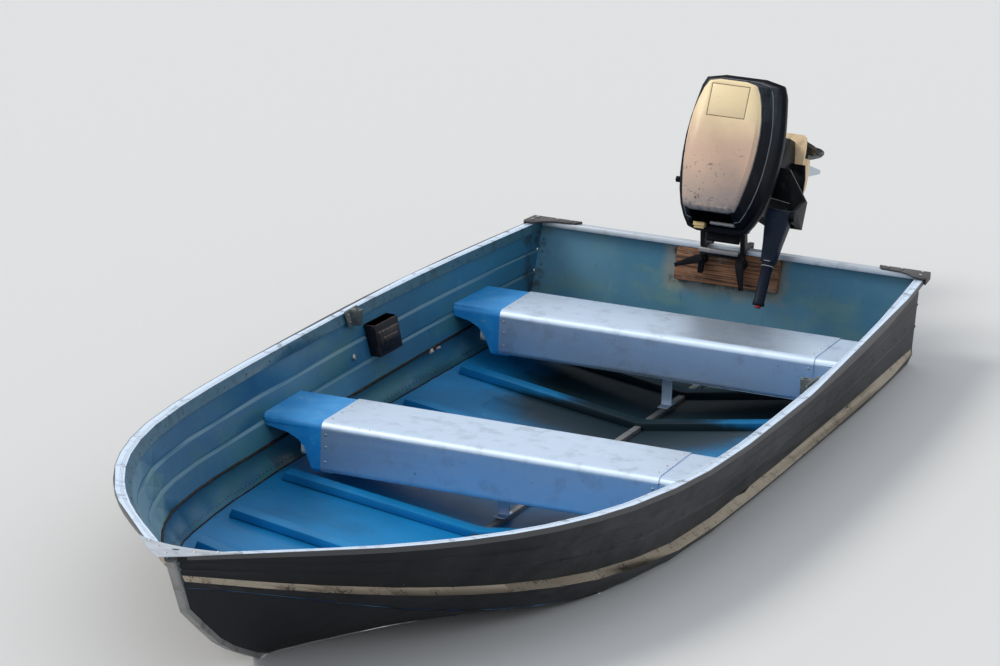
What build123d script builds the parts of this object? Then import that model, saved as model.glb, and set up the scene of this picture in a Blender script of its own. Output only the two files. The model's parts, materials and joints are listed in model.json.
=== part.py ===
# Rowing boat: a 3.66 m riveted aluminium open boat with a small outboard tilted up on its transom
import os
from math import atan2, degrees, hypot

from build123d import *

# Frame: millimetres, bow at -Y, port at +X, z = 0 at the waterline, y = 0 midships.

# Hull shell
side_sheet = 2.0            # thickness of the side and bilge sheets
bottom_sheet = 2.5          # thickness of the bottom sheets
bottom_split = -200.0       # each side's bottom is two sheets that meet at the frame nearest this place
seat_gap = 0.3              # gap left where two pieces seat on each other
transom_rake = 0.2586       # how far the transom leans aft for each millimetre of height
transom_sheet = 3.0
bead_depth = 4.0            # pressed beads along the side sheets
bead_half = 7.0
bead_places = (0.40, 0.70)  # share of the side's height, down from the gunwale
ledge_out = 20.0            # spray ledge stands out this far at the chine
ledge_drop = 17.0
ledge_full = 200.0          # half breadth at the chine from which the ledge has its full width
ledge_fade = 420.0          # length ahead of the transom over which it dies away
ledge_last = 0.15           # share of its width that is left at the transom
rub_out = 22.0              # gunwale extrusion: overhang outside the sheet
rub_lip = 14.0
flange_t = 3.0
inner_leg = 28.0
stem_half = 10.0            # keel and stem bar: half its thickness
keel_in = 12.0
keel_out = 14.0

# Frame stations from bow to transom. lean: how far y shifts for each millimetre below the gunwale.
# y, lean, half_top, z_top, half_chine, z_chine, half_seam, z_seam, z_keel
frames = [
    (-1768.0, 0.55, 16.5, 396.0, 15.4, 335.0, 13.5, 300.0, 240.0),
    (-1650.0, 0.50, 99.0, 379.0, 60.0, 296.0, 48.0, 262.0, 120.0),
    (-1520.0, 0.40, 198.0, 362.0, 133.0, 259.0, 112.0, 222.0, 55.0),
    (-1350.0, 0.25, 317.0, 340.0, 232.0, 219.0, 205.0, 172.0, 0.0),
    (-1150.0, 0.10, 435.0, 318.0, 337.0, 177.0, 305.0, 118.0, -38.0),
    (-900.0, 0.0, 547.0, 295.0, 448.0, 132.0, 415.0, 64.0, -62.0),
    (-600.0, 0.0, 631.0, 274.0, 546.0, 88.0, 515.0, 14.0, -85.0),
    (-200.0, 0.0, 678.0, 256.0, 606.0, 53.0, 580.0, -20.0, -97.0),
    (300.0, 0.0, 685.0, 250.0, 615.0, 44.0, 592.0, -26.0, -105.0),
    (800.0, 0.0, 672.0, 250.0, 610.0, 44.0, 588.0, -30.0, -115.0),
    (1300.0, 0.0, 639.0, 250.0, 601.0, 44.0, 580.0, -36.0, -125.0),
    (1826.0, -transom_rake, 584.0, 250.0, 588.0, 44.0, 566.0, -40.0, -125.0),
]
gunwale_z = frames[-1][3]
transom_y = frames[-1][0]
panel_count = 2             # straight panels between one frame and the next

os.makedirs("parts", exist_ok=True)


def save(piece, label, place=None):
    part = piece.part if place is None else piece.part.moved(place)
    part.label = label
    export_step(part, "parts/" + label + ".step")


def fair(rows, steps):
    """Extra stations between the frames, on smooth curves through them."""
    slopes = []
    for i, row in enumerate(rows):
        before, after = rows[max(i - 1, 0)], rows[min(i + 1, len(rows) - 1)]
        span = after[0] - before[0]
        slopes.append([(b - a) / span for a, b in zip(before, after)])
    fine = []
    for i, (low, high) in enumerate(zip(rows, rows[1:])):
        span = high[0] - low[0]
        for step in range(steps):
            t = step / steps
            start, end = (1 + 2 * t) * (1 - t) ** 2, t * t * (3 - 2 * t)
            lead, trail = t * (1 - t) ** 2 * span, t * t * (t - 1) * span
            fine.append(tuple(start * a + end * b + lead * m + trail * n
                              for a, b, m, n in zip(low, high, slopes[i], slopes[i + 1])))
    fine.append(rows[-1])
    return fine


stations = fair(frames, panel_count)


def y_at(row, z):
    """Length position of a station's plane at height z."""
    return row[0] + row[1] * (row[3] - z)


def station_plane(row):
    """Plane of a station: local x runs across the boat, local y up the section."""
    return Plane(origin=(0, row[0], row[3]), x_dir=(1, 0, 0), z_dir=(0, -1, -row[1]))


def local_y(row, z):
    """Height z as measured along the station's own plane, from its gunwale."""
    return (z - row[3]) * hypot(1, row[1])


def blend(y, column, level):
    """A station column read at length position y, at the height that the level column holds."""
    for low, high in zip(stations, stations[1:]):
        y_low, y_high = y_at(low, low[level]), y_at(high, high[level])
        if y <= y_high:
            share = (y - y_low) / (y_high - y_low)
            return low[column] + share * (high[column] - low[column])
    return stations[-1][column]


def plan_factor(index):
    """Widening of a crosswise offset where the hull narrows in plan."""
    before = stations[max(index - 1, 0)]
    after = stations[min(index + 1, len(stations) - 1)]
    return hypot(1, (after[2] - before[2]) / (after[0] - before[0]))


def station_faces(outlines, rows=stations):
    """One flat face for each station, for a loft along the hull."""
    faces = []
    for row, outline in zip(rows, outlines):
        with BuildSketch(station_plane(row)) as section:
            with BuildLine():
                Polyline(*outline, close=True)
            make_face()
        faces.append(section.sketch.face())
    return faces


def side_outline(row, hand):
    """Upper side sheet between gunwale and chine, with its two pressed beads."""
    x_top, x_low = row[2], row[4]
    top = local_y(row, row[3] - flange_t - seat_gap)
    low = local_y(row, row[5])
    points = [(x_top, top)]
    for place in bead_places:
        for step, depth in ((-bead_half, 0.0), (0.0, bead_depth), (bead_half, 0.0)):
            share = place - step / (low - top)
            points.append((x_top + share * (x_low - x_top) + depth, top + share * (low - top)))
    points.append((x_low, low))
    inner = [(x - side_sheet, y) for x, y in reversed(points)]
    return [(hand * x, y) for x, y in points + inner]


def ledge_at(row):
    """How far the spray ledge stands out at a station: less in the bow and toward the transom."""
    return ledge_out * min(1.0, row[4] / ledge_full, ledge_last + (transom_y - row[0]) / ledge_fade)


def bilge_outline(row, hand):
    """Lower side sheet: spray ledge out from the chine, then down to the bottom seam."""
    out = ledge_at(row)
    chine = local_y(row, row[5] - seat_gap)
    ledge = local_y(row, row[5] - ledge_drop)
    seam = local_y(row, row[7])
    points = [(row[4] - side_sheet, chine), (row[4] + out, ledge), (row[6], seam)]
    inner = [(x - side_sheet * 1.1, y - 1.0) for x, y in reversed(points)]
    return [(hand * x, y) for x, y in points + inner]


def bottom_outline(row, hand):
    """Bottom sheet from the bilge seam in to the keel bar."""
    seam = local_y(row, row[7]) - 1.4
    keel = local_y(row, row[8])
    x_seam = max(row[6] - 1.0, stem_half + 2.2)
    x_keel = stem_half + seat_gap
    return [(hand * x_seam, seam), (hand * x_seam, seam - bottom_sheet),
            (hand * x_keel, keel - bottom_sheet), (hand * x_keel, keel)]


def gunwale_outline(row, hand, factor):
    """Gunwale extrusion: flat top, outer lip, inner leg riveted inside the sheet."""
    x = row[2]
    outer = x + rub_out * factor
    slope = (row[4] - row[2]) / (local_y(row, row[5]) - local_y(row, row[3]))
    in_low = -slope * inner_leg
    points = [(outer, 0), (outer, -rub_lip), (outer - flange_t, -rub_lip), (outer - flange_t, -flange_t),
              (x - side_sheet - seat_gap, -flange_t), (x - side_sheet - seat_gap + in_low, -inner_leg),
              (x - side_sheet - seat_gap - flange_t + in_low, -inner_leg),
              (x - side_sheet - seat_gap - flange_t, 0)]
    return [(hand * px, py) for px, py in points]


split_at = min(range(len(stations)), key=lambda i: abs(stations[i][0] - bottom_split))
fore_rows = stations[:split_at] + [(stations[split_at][0] - seat_gap,) + stations[split_at][1:]]

for side_name, hand in (("port", 1), ("starboard", -1)):
    with BuildPart() as side:
        loft(sections=station_faces([side_outline(row, hand) for row in stations]), ruled=True)
    save(side, "side_sheet_" + side_name)

    with BuildPart() as bilge:
        loft(sections=station_faces([bilge_outline(row, hand) for row in stations]), ruled=True)
    save(bilge, "bilge_sheet_" + side_name)

    for label, rows in (("fore_bottom_sheet_", fore_rows), ("bottom_sheet_", stations[split_at:])):
        with BuildPart() as bottom:
            loft(sections=station_faces([bottom_outline(row, hand) for row in rows], rows), ruled=True)
        save(bottom, label + side_name)

    with BuildPart() as gunwale:
        outlines = [gunwale_outline(row, hand, plan_factor(i)) for i, row in enumerate(stations)]
        loft(sections=station_faces(outlines), ruled=True)
    save(gunwale, "gunwale_" + side_name)


# Keel and stem: one bar along the centreline, from the transom to the top of the bow
def offset_line(points, distance):
    shifted = []
    for i, (y, z) in enumerate(points):
        before, after = points[max(i - 1, 0)], points[min(i + 1, len(points) - 1)]
        length = hypot(after[0] - before[0], after[1] - before[1])
        shifted.append((y - (after[1] - before[1]) / length * distance,
                        z + (after[0] - before[0]) / length * distance))
    return shifted


bow_row = stations[0]
stem_top = bow_row[3] - 16
keel_line = [(y_at(bow_row, stem_top), stem_top), (y_at(bow_row, bow_row[5]), bow_row[5])]
keel_line += [(y_at(row, row[8]), row[8]) for row in stations[:-1]]
keel_line.append((y_at(stations[-1], stations[-1][8]) - keel_out * transom_rake - seat_gap, stations[-1][8]))
with BuildPart() as keel:
    with BuildSketch(Plane.YZ.offset(-stem_half)):
        with BuildLine():
            Polyline(*(offset_line(keel_line, keel_in) + offset_line(keel_line, -keel_out)[::-1]), close=True)
        make_face()
    extrude(amount=2 * stem_half)
save(keel, "keel_and_stem")

# Transom: flat sheet in the raked plane behind the side sheets
last = stations[-1]
transom_plane = Plane(origin=(0, transom_y + seat_gap, gunwale_z), x_dir=(-1, 0, 0),
                      z_dir=(0, 1, -transom_rake))
rake_stretch = hypot(1, transom_rake)
half_outline = [(last[2], 0), (last[4], (last[5] - gunwale_z) * rake_stretch),
                (last[4] + ledge_at(last), (last[5] - ledge_drop - gunwale_z) * rake_stretch),
                (last[6], (last[7] - gunwale_z) * rake_stretch), (0, (last[8] - 3 - gunwale_z) * rake_stretch)]
with BuildPart() as transom:
    with BuildSketch(transom_plane):
        with BuildLine():
            Polyline(*(half_outline + [(-x, y) for x, y in half_outline[-2::-1]]), close=True)
        make_face()
    extrude(amount=transom_sheet)
save(transom, "transom")

cap_width = 26.0
cap_t = 2.5
cap_lip = 12.0
cap_half = last[2] - side_sheet - 8
with BuildPart() as cap:
    with BuildSketch(Plane.YZ.offset(-cap_half)):
        with BuildLine():
            aft = transom_y + seat_gap + transom_sheet + 1.2
            Polyline((aft, gunwale_z + seat_gap), (aft, gunwale_z + seat_gap + cap_t),
                     (aft - cap_width, gunwale_z + seat_gap + cap_t),
                     (aft - cap_width - cap_lip * transom_rake, gunwale_z + seat_gap - cap_lip),
                     (aft - cap_width - cap_lip * transom_rake + cap_t, gunwale_z + seat_gap - cap_lip),
                     (aft - cap_width + cap_t, gunwale_z + seat_gap), close=True)
        make_face()
    extrude(amount=2 * cap_half)
save(cap, "transom_cap")

# Motor pads: a worn plywood board inside, a thinner one outside
inner_pad_t = 25.0
inner_pad_low = 115.0
inner_pad_half = 158.0
outer_pad_t = 15.0

with BuildPart() as inner_pad:
    with BuildSketch(transom_plane):
        with Locations((-12, -(inner_pad_low + 4) / 2)):
            RectangleRounded(2 * inner_pad_half, inner_pad_low - 4, 6)
    extrude(amount=-inner_pad_t)
    with Locations((0, transom_y - cap_width / 2, gunwale_z)):
        Box(4 * inner_pad_half, cap_width + 12, 2 * (cap_lip + 1), mode=Mode.SUBTRACT)
save(inner_pad, "motor_pad_inner")

with BuildPart() as outer_pad:
    with BuildSketch(transom_plane.offset(transom_sheet + seat_gap)):
        with Locations((0, -(200 + 12) / 2)):
            RectangleRounded(240, 200 - 12, 10)
    extrude(amount=outer_pad_t)
save(outer_pad, "motor_pad_outer")

# Corner castings between transom and gunwales: top plate with skirts down the outside and the back
casting_t = 5.0
casting_skirt = 22.0
casting_across = 152.0
casting_along = 76.0
casting_low = gunwale_z + 2 * seat_gap + cap_t
casting_aft = transom_y + seat_gap + transom_sheet + 6.0
casting_skirt_t = 4.5


def rub_x(y):
    """Half breadth of the gunwale's outer lip at y, with room for a piece outside it."""
    return blend(y, 2, 3) + rub_out + 3 * seat_gap


for side_name, hand in (("port", 1), ("starboard", -1)):
    y_front = casting_aft - casting_along
    x_aft, x_front = rub_x(casting_aft) + casting_skirt_t, rub_x(y_front) + casting_skirt_t
    with BuildPart() as corner:
        with BuildSketch(Plane.XY.offset(casting_low)):
            with BuildLine():
                Polyline(*[(hand * x, y) for x, y in (
                    (x_aft, casting_aft), (x_aft - casting_across, casting_aft),
                    (x_aft - casting_across + 12, casting_aft - 30), (x_aft - 78, casting_aft - 38),
                    (x_aft - 48, casting_aft - 54), (x_front - 42, y_front + 6), (x_front - 6, y_front),
                    (x_front, y_front + 8))], close=True)
            make_face()
        extrude(amount=casting_t)
        with BuildSketch(Plane.XY.offset(casting_low + casting_t - casting_skirt)):
            with BuildLine():
                Polyline(*[(hand * x, y) for x, y in (
                    (x_aft, casting_aft), (x_aft - casting_across, casting_aft),
                    (x_aft - casting_across, casting_aft - casting_skirt_t),
                    (x_aft - casting_skirt_t, casting_aft - casting_skirt_t),
                    (x_front - casting_skirt_t, y_front + 8), (x_front, y_front + 8))], close=True)
            make_face()
        extrude(amount=casting_skirt)
    save(corner, "corner_bracket_" + side_name)

# Bow plate: small triangular breasthook over the meeting gunwales
plate_t = 3.0
with BuildPart() as bow_plate:
    with BuildSketch(Plane(origin=(0, bow_row[0], bow_row[3] + seat_gap), x_dir=(1, 0, 0),
                           z_dir=(0, 0.12, 1))):
        with BuildLine():
            Polyline((0, -62), (-42, -16), (-130, 104))
            ThreePointArc((-130, 104), (0, 60), (130, 104))
            Polyline((130, 104), (42, -16), (0, -62))
        make_face()
        with Locations((0, 28)):
            Circle(9, mode=Mode.SUBTRACT)
    extrude(amount=plate_t)
save(bow_plate, "bow_plate")

# Floor ribs: shallow hat channels across the bottom, over the keel bar
rib_places = (-1060.0, -740.0, -360.0, 20.0, 400.0, 790.0, 1170.0, 1520.0)
rib_wide = 44.0
rib_tall = 22.0
rib_wall = 2.0


def floor_points(y_front, y_back, lift):
    """Cross line over the bottom's inside between two places, raised by lift: keel and outer end."""
    end_x = min(blend(y, 6, 7) for y in (y_front, y_back)) - 34
    keel_z = max(blend(y, 8, 8) for y in (y_front, y_back))
    end_z = keel_z
    for y in (y_front, y_back):
        seam_x, seam_z, floor_z = blend(y, 6, 7), blend(y, 7, 7), blend(y, 8, 8)
        end_z = max(end_z, floor_z + (seam_z - floor_z) * (end_x - stem_half) / (seam_x - stem_half))
    return (stem_half, keel_z + lift), (end_x, end_z + lift)


with BuildPart() as ribs:
    for place in rib_places:
        front = place - rib_wide / 2
        for inset, low, high, mode in ((0, 2 * seat_gap, rib_tall, Mode.ADD),
                                       (rib_wall, -5, rib_tall - rib_wall, Mode.SUBTRACT)):
            near_low, far_low = floor_points(front, front + rib_wide, low)
            near_high, far_high = floor_points(front, front + rib_wide, high)
            with BuildSketch(Plane.XZ.offset(-(front + inset))):
                with BuildLine():
                    Polyline((0, near_low[1]), near_low, far_low, (far_high[0] - 8, far_high[1]), near_high,
                             (0, near_high[1]), (-near_high[0], near_high[1]), (-far_high[0] + 8, far_high[1]),
                             (-far_low[0], far_low[1]), (-near_low[0], near_low[1]), close=True)
                make_face()
            extrude(amount=-(rib_wide - 2 * inset), mode=mode)
        keel_top = max(blend(y, 8, 8) for y in (front, front + rib_wide)) + keel_in
        with Locations((0, place, keel_top - 18)):
            Box(2 * stem_half + 1.4, rib_wide + 2, 2 * 18.6, mode=Mode.SUBTRACT)
save(ribs, "floor_ribs")

# Benches: inverted channels with painted ends riveted to the sides, foam under them and one post each
bench_t = 2.5
bench_mid_half = 470.0
bench_bend = 22.0
foam_deep = 95.0
post_half = 16.0
end_lap = 30.0              # how far a painted end reaches in under the bench
end_face_out = 30.0         # height of an end's face where it meets the side sheet
# name, y_front, y_back, z_top, face
benches = [
    ("forward_bench", 51.0, 307.0, 128.0, 144.0),
    ("aft_bench", 1247.0, 1496.0, 132.0, 137.0),
]


def inside_outline(row, gap):
    """Open space between the side sheets at a station, gap clear of them."""
    top, chine = local_y(row, row[3] + 30), local_y(row, row[5])
    slope = (row[2] - row[4]) / (row[3] - row[5])
    x_top, x_chine = row[2] + 30 * slope - side_sheet - gap, row[4] - side_sheet - gap
    x_seam, seam = row[6] - side_sheet - gap - 6, local_y(row, row[7])
    return [(x_top, top), (x_chine, chine), (x_seam, seam), (-x_seam, seam), (-x_chine, chine), (-x_top, top)]


def inside_space(gap):
    """Solid that fills the open hull amidships and aft, gap clear of the sheets."""
    faces = []
    for row in stations:
        if row[0] > -250:
            with BuildSketch(station_plane(row)) as section:
                with BuildLine():
                    Polyline(*inside_outline(row, gap), close=True)
                make_face()
            faces.append(section.sketch.face())
    return loft(sections=faces, ruled=True, mode=Mode.PRIVATE)


def bench_section(y_front, y_back, z_top, depth, bend):
    """Channel outline across the bench, its top edges rounded."""
    with BuildSketch(Plane.YZ) as section:
        with Locations(((y_front + y_back) / 2, z_top - depth / 2)):
            Rectangle(y_back - y_front, depth)
        fillet(section.vertices().group_by(Axis.Z)[-1], radius=bend)
    return section.sketch


lap = bench_t + seat_gap
for name, y_front, y_back, z_top, face in benches:
    with BuildPart() as bench:
        extrude(bench_section(y_front, y_back, z_top, face, bench_bend), amount=bench_mid_half, both=True)
        extrude(bench_section(y_front + bench_t, y_back - bench_t, z_top - bench_t, face, bench_bend - bench_t),
                amount=bench_mid_half + 5, both=True, mode=Mode.SUBTRACT)
    save(bench, name)

    with BuildPart() as bench_ends:
        x_side = last[2] + 120
        add(inside_space(seat_gap))
        extrude(bench_section(y_front + lap, y_back - lap, z_top - lap, face, bench_bend - lap),
                amount=x_side, both=True, mode=Mode.INTERSECT)
        extrude(bench_section(y_front + lap + bench_t, y_back - lap - bench_t, z_top - lap - bench_t, face,
                              bench_bend - lap - bench_t), amount=x_side, both=True, mode=Mode.SUBTRACT)
        with Locations((0, (y_front + y_back) / 2, z_top - face / 2)):
            Box(2 * (bench_mid_half - end_lap), 2 * face + 200, 2 * face, mode=Mode.SUBTRACT)
        for hand in (1, -1):
            with BuildSketch(Plane.XZ.offset(-(y_front - 5))):
                with BuildLine():
                    low = z_top - face
                    sweep = [(x_side, z_top - end_face_out + 12), (bench_mid_half + 95, z_top - 44),
                             (bench_mid_half + 66, z_top - 58), (bench_mid_half + 48, z_top - 76),
                             (bench_mid_half + 36, low + 36), (bench_mid_half + 26, low + 12),
                             (bench_mid_half + 14, low - 30), (x_side, low - 30)]
                    Polyline(*[(hand * x, z) for x, z in sweep], close=True)
                make_face()
            extrude(amount=-(y_back - y_front + 10), mode=Mode.SUBTRACT)
    save(bench_ends, name + "_ends")

with BuildPart() as foam:
    for name, y_front, y_back, z_top, face in benches:
        inner = 2 * lap
        extrude(bench_section(y_front + inner, y_back - inner, z_top - inner, foam_deep, bench_bend - inner),
                amount=bench_mid_half + 60, both=True)
save(foam, "bench_foam")

with BuildPart() as posts:
    for name, y_front, y_back, z_top, face in benches:
        y_post = (y_front + y_back) / 2
        foot = blend(y_front, 8, 8) + keel_in + seat_gap
        head = z_top - 2 * lap - foam_deep - seat_gap
        with Locations((0, y_post, (foot + head) / 2)):
            Box(2 * post_half, 4, head - foot)
        for level in (foot + 2, head - 2):
            with Locations((0, y_post, level)):
                Box(2 * post_half, 60, 4)
save(posts, "bench_posts")

# Rowlock sockets on the gunwales' inner legs: sloping back plate and an upright bored boss
rowlock_y = 657.0
rowlock_r = 6.5
socket_long = 78.0
socket_tall = 42.0
socket_plate = 5.0
socket_rise = 6.0           # how far the socket stands above the gunwale
boss_half = 11.0


def side_slope(y):
    """Flare of the side sheet at y: half breadth gained for each millimetre of height."""
    return (blend(y, 2, 3) - blend(y, 4, 5)) / (blend(y, 3, 3) - blend(y, 5, 5))


for side_name, hand in (("port", 1), ("starboard", -1)):
    x_leg = blend(rowlock_y + socket_long / 2, 2, 3) - side_sheet - flange_t - 2 * seat_gap - 0.6
    top, low = gunwale_z + socket_rise, gunwale_z + socket_rise - socket_tall
    x_low = x_leg - side_slope(rowlock_y) * (gunwale_z - low)
    x_boss = x_low - 1.5 - boss_half
    with BuildPart() as socket:
        for length, x_in in ((socket_long, 0), (2 * boss_half, x_boss - boss_half)):
            with BuildSketch(Plane.XZ.offset(-(rowlock_y - length / 2))):
                with BuildLine():
                    plate = [(x_leg, top), (x_leg, gunwale_z), (x_low, low),
                             (x_in or x_low - socket_plate, low), (x_in or x_leg - socket_plate, top)]
                    Polyline(*[(hand * x, z) for x, z in plate], close=True)
                make_face()
            extrude(amount=-length)
        with Locations((hand * x_boss, rowlock_y, top)):
            Hole(rowlock_r, depth=socket_tall)
    save(socket, "rowlock_socket_" + side_name)

# Small black open-topped box on the starboard side
box_y = 787.0
box_long = 138.0
box_deep = 38.0
box_tall = 86.0
box_wall = 3.0
box_top = gunwale_z - 53
box_ends = (box_y - box_long / 2, box_y + box_long / 2)
box_half_top = [blend(y, 2, 3) for y in box_ends]
box_turn = -degrees(atan2(box_half_top[0] - box_half_top[1], box_long))
box_flare = side_slope(box_y)
box_x = sum(box_half_top) / 2 - side_sheet - 4 * seat_gap - box_flare * (gunwale_z - box_top)
with BuildPart() as side_box:
    for wall, floor, mode in ((0.0, 0.0, Mode.ADD), (box_wall, box_wall, Mode.SUBTRACT)):
        low, high = floor - box_tall, 2 * wall
        back_low, back_high = wall - box_flare * low, wall - box_flare * high
        with BuildSketch(Plane.XZ.offset(box_long / 2 - wall)):
            with BuildLine():
                Polyline((back_high, high), (back_low, low), (back_low + 0.8 * box_deep - 2 * wall, low),
                         (box_deep - wall, -12 - wall), (0.9 * box_deep - wall, high), close=True)
            make_face()
        extrude(amount=2 * wall - box_long, mode=mode)
save(side_box, "side_box", Location((-box_x, box_y, box_top), (0, 0, box_turn)))

# Drain plug low on the transom
with BuildPart() as drain:
    with BuildSketch(transom_plane.offset(transom_sheet + seat_gap)):
        with Locations((-60, -(gunwale_z + 62) * rake_stretch)):
            RegularPolygon(16, 6)
    extrude(amount=8)
save(drain, "drain_plug")

# Outboard motor. Its own frame: origin on the tilt pin, Y aft and Z up as it runs upright.
tilt_y = 1780.0
tilt_z = 320.0
tilt_angle = 64.0
steer_y = 110.0             # swivel axis, aft of the tilt pin
at_transom = Location((0, tilt_y, tilt_z))
tilted = Location((0, tilt_y, tilt_z), (tilt_angle, 0, 0))
top_gap = tilt_z - gunwale_z

pin_r = 7.0
running_gap = 0.05
ear_r = 14.0
bracket_in = 54.0           # inner faces of the clamp bracket's side plates
bracket_t = 14.0
bracket_out = bracket_in + bracket_t
screw_r = 6.0
screw_x = bracket_in + bracket_t / 2
hook_z = -(top_gap - seat_gap - cap_t - 2 * seat_gap)
pad_face = transom_y + seat_gap - inner_pad_t * rake_stretch - tilt_y
outer_face = transom_y + seat_gap + (transom_sheet + seat_gap + outer_pad_t) * rake_stretch - tilt_y


def along_rake(y, z):
    """Motor-frame position of a line parallel to the transom that is at y level with its top."""
    return y + (z + top_gap) * transom_rake


jaw_stand = 8.0
jaw_t = 14.0
jaw_top = -75.0
jaw_low = -142.0
jaw_pad_r = 13.0
plate_low = -200.0
plate_t = 13.0
tie_tall = 22.0
web_tall = 16.0
side_profile = [(-ear_r, 0), (along_rake(pad_face - jaw_stand - jaw_t, jaw_top), jaw_top),
                (along_rake(pad_face - jaw_stand - jaw_t, jaw_low), jaw_low),
                (along_rake(pad_face - jaw_stand, jaw_low), jaw_low),
                (along_rake(pad_face - jaw_stand, hook_z), hook_z),
                (along_rake(outer_face + seat_gap, hook_z), hook_z),
                (along_rake(outer_face + seat_gap, plate_low), plate_low),
                (along_rake(outer_face + plate_t, plate_low), plate_low),
                (along_rake(outer_face + plate_t, -top_gap), -top_gap + 13),
                (20, -50), (ear_r, -20), (ear_r, 0)]
screw_z = -106.0
screw_plane = Plane(origin=(0, along_rake(pad_face - seat_gap, screw_z), screw_z), x_dir=(1, 0, 0),
                    z_dir=(0, -1, transom_rake))
with BuildPart() as clamp:
    for hand in (1, -1):
        with BuildSketch(Plane.YZ.offset(hand * screw_x - bracket_t / 2)):
            with BuildLine():
                Polyline(*side_profile, close=True)
            make_face()
            RegularPolygon(ear_r, 16)
        extrude(amount=bracket_t)
        with BuildSketch(screw_plane.offset(jaw_stand)):
            with Locations((hand * screw_x, 0)):
                RegularPolygon(jaw_pad_r, 12)
        extrude(amount=jaw_t + 6)
    web_z = jaw_top - web_tall / 2
    with Locations((0, along_rake(pad_face - jaw_stand - jaw_t / 2, web_z), web_z)):
        Box(2 * bracket_in, jaw_t, web_tall)
    with BuildSketch(Plane.YZ.offset(-bracket_in)):
        with BuildLine():
            tie = [(outer_face + seat_gap, plate_low), (outer_face + seat_gap, plate_low + tie_tall),
                   (outer_face + plate_t, plate_low + tie_tall), (outer_face + plate_t, plate_low)]
            Polyline(*[(along_rake(y, z), z) for y, z in tie], close=True)
        make_face()
    extrude(amount=2 * bracket_in)
    with BuildSketch(Plane.YZ.offset(-2 * bracket_out)):
        Circle(pin_r + running_gap)
    extrude(amount=4 * bracket_out, mode=Mode.SUBTRACT)
    for hand in (1, -1):
        with BuildSketch(screw_plane.offset(-10)):
            with Locations((hand * screw_x, 0)):
                Circle(screw_r + seat_gap)
        extrude(amount=60, mode=Mode.SUBTRACT)
save(clamp, "clamp_bracket", at_transom)

nut_t = 7.5
nut_r = 12.0
pin_half = bracket_out + 2.5 + nut_t
with BuildPart() as tilt_pin:
    with BuildSketch(Plane.YZ.offset(-pin_half + nut_t)):
        Circle(pin_r)
    extrude(amount=2 * (pin_half - nut_t))
    for x in (-pin_half, pin_half - nut_t):
        with BuildSketch(Plane.YZ.offset(x)):
            RegularPolygon(nut_r, 6)
        extrude(amount=nut_t)
save(tilt_pin, "tilt_pin", at_transom)

# Clamp screws with their folding handles, one held out to the side and one hanging
screw_foot_r = 15.0
screw_foot_t = 5.0
screw_long = 38.0
handle_t = 9.0
handle_long = 78.0
for side_name, hand, turn in (("starboard", -1, 202.0), ("port", 1, -78.0)):
    with BuildPart() as screw:
        with BuildSketch(screw_plane):
            with Locations((hand * screw_x, 0)):
                RegularPolygon(screw_foot_r, 16)
        extrude(amount=screw_foot_t)
        with BuildSketch(screw_plane.offset(screw_foot_t)):
            with Locations((hand * screw_x, 0)):
                Circle(screw_r)
        extrude(amount=screw_long)
        with BuildSketch(screw_plane.offset(screw_foot_t + screw_long - handle_t)):
            with Locations(Location((hand * screw_x, 0, 0), (0, 0, turn))):
                Polygon((-10, -9), (8, -12), (24, -11), (handle_long, -5), (handle_long, 5), (24, 11), (8, 12),
                        (-10, 9), align=None)
        extrude(amount=handle_t)
    save(screw, "clamp_screw_" + side_name, at_transom)

# Swivel bracket: hangs on the tilt pin, carries the upright steering barrel
barrel_r = 22.0
barrel_top = -45.0
barrel_low = -240.0
post_r = 13.0
web_half = 22.0
swivel_half = bracket_in - 0.8
with BuildPart() as swivel:
    with BuildSketch(Plane.YZ.offset(-swivel_half)):
        RegularPolygon(ear_r, 16)
    extrude(amount=2 * swivel_half)
    with BuildSketch(Plane.YZ.offset(-web_half)):
        with BuildLine():
            Polyline((6, 12), (52, -34), (74, -51), (steer_y, -51), (steer_y, -150), (94, -150), (90, -72),
                     (84, -62), (40, -56), (-8, -11), close=True)
        make_face()
    extrude(amount=2 * web_half)
    with BuildSketch(Plane.XY.offset(barrel_low)):
        with Locations((0, steer_y)):
            RegularPolygon(barrel_r, 20)
    extrude(amount=barrel_top - barrel_low)
    with BuildSketch(Plane.XY.offset(barrel_low - 10)):
        with Locations((0, steer_y)):
            Circle(post_r + seat_gap)
    extrude(amount=barrel_top - barrel_low + 20, mode=Mode.SUBTRACT)
    with BuildSketch(Plane.YZ.offset(-2 * bracket_out)):
        Circle(pin_r + running_gap)
    extrude(amount=4 * bracket_out, mode=Mode.SUBTRACT)
save(swivel, "swivel_bracket", tilted)

# Steering head under the engine pan, with the post that turns in the barrel
pan_low = 20.0
head_low = barrel_top + seat_gap
head_rear = 290.0
head_half = 40.0
with BuildPart() as head:
    with BuildSketch(Plane.XY.offset(head_low)):
        with Locations((0, steer_y)):
            RegularPolygon(30, 16)
        with Locations((0, (steer_y + 5 + head_rear) / 2)):
            Rectangle(2 * head_half, head_rear - steer_y - 5)
    extrude(amount=pan_low - seat_gap - head_low)
    with BuildSketch(Plane.XY.offset(barrel_low - seat_gap)):
        with Locations((0, steer_y)):
            Circle(post_r)
    extrude(amount=head_low - barrel_low + 2 * seat_gap)
save(head, "steering_head", tilted)

# Streamlined outline, nose first: share of the length, share of the half breadth
lens_shape = [(0.0, 0.34), (0.05, 0.66), (0.16, 0.90), (0.38, 1.0), (0.64, 0.86), (0.85, 0.56), (0.97, 0.26)]


def lens(z, y_front, y_rear, half):
    """Streamlined section of the leg at height z."""
    with BuildSketch(Plane.XY.offset(z)) as section:
        with BuildLine():
            points = [(half * wide, y_front + (y_rear - y_front) * along) for along, wide in lens_shape]
            Polyline(*(points + [(-x, y) for x, y in reversed(points)]), close=True)
        make_face()
    return section.sketch.face()


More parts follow.
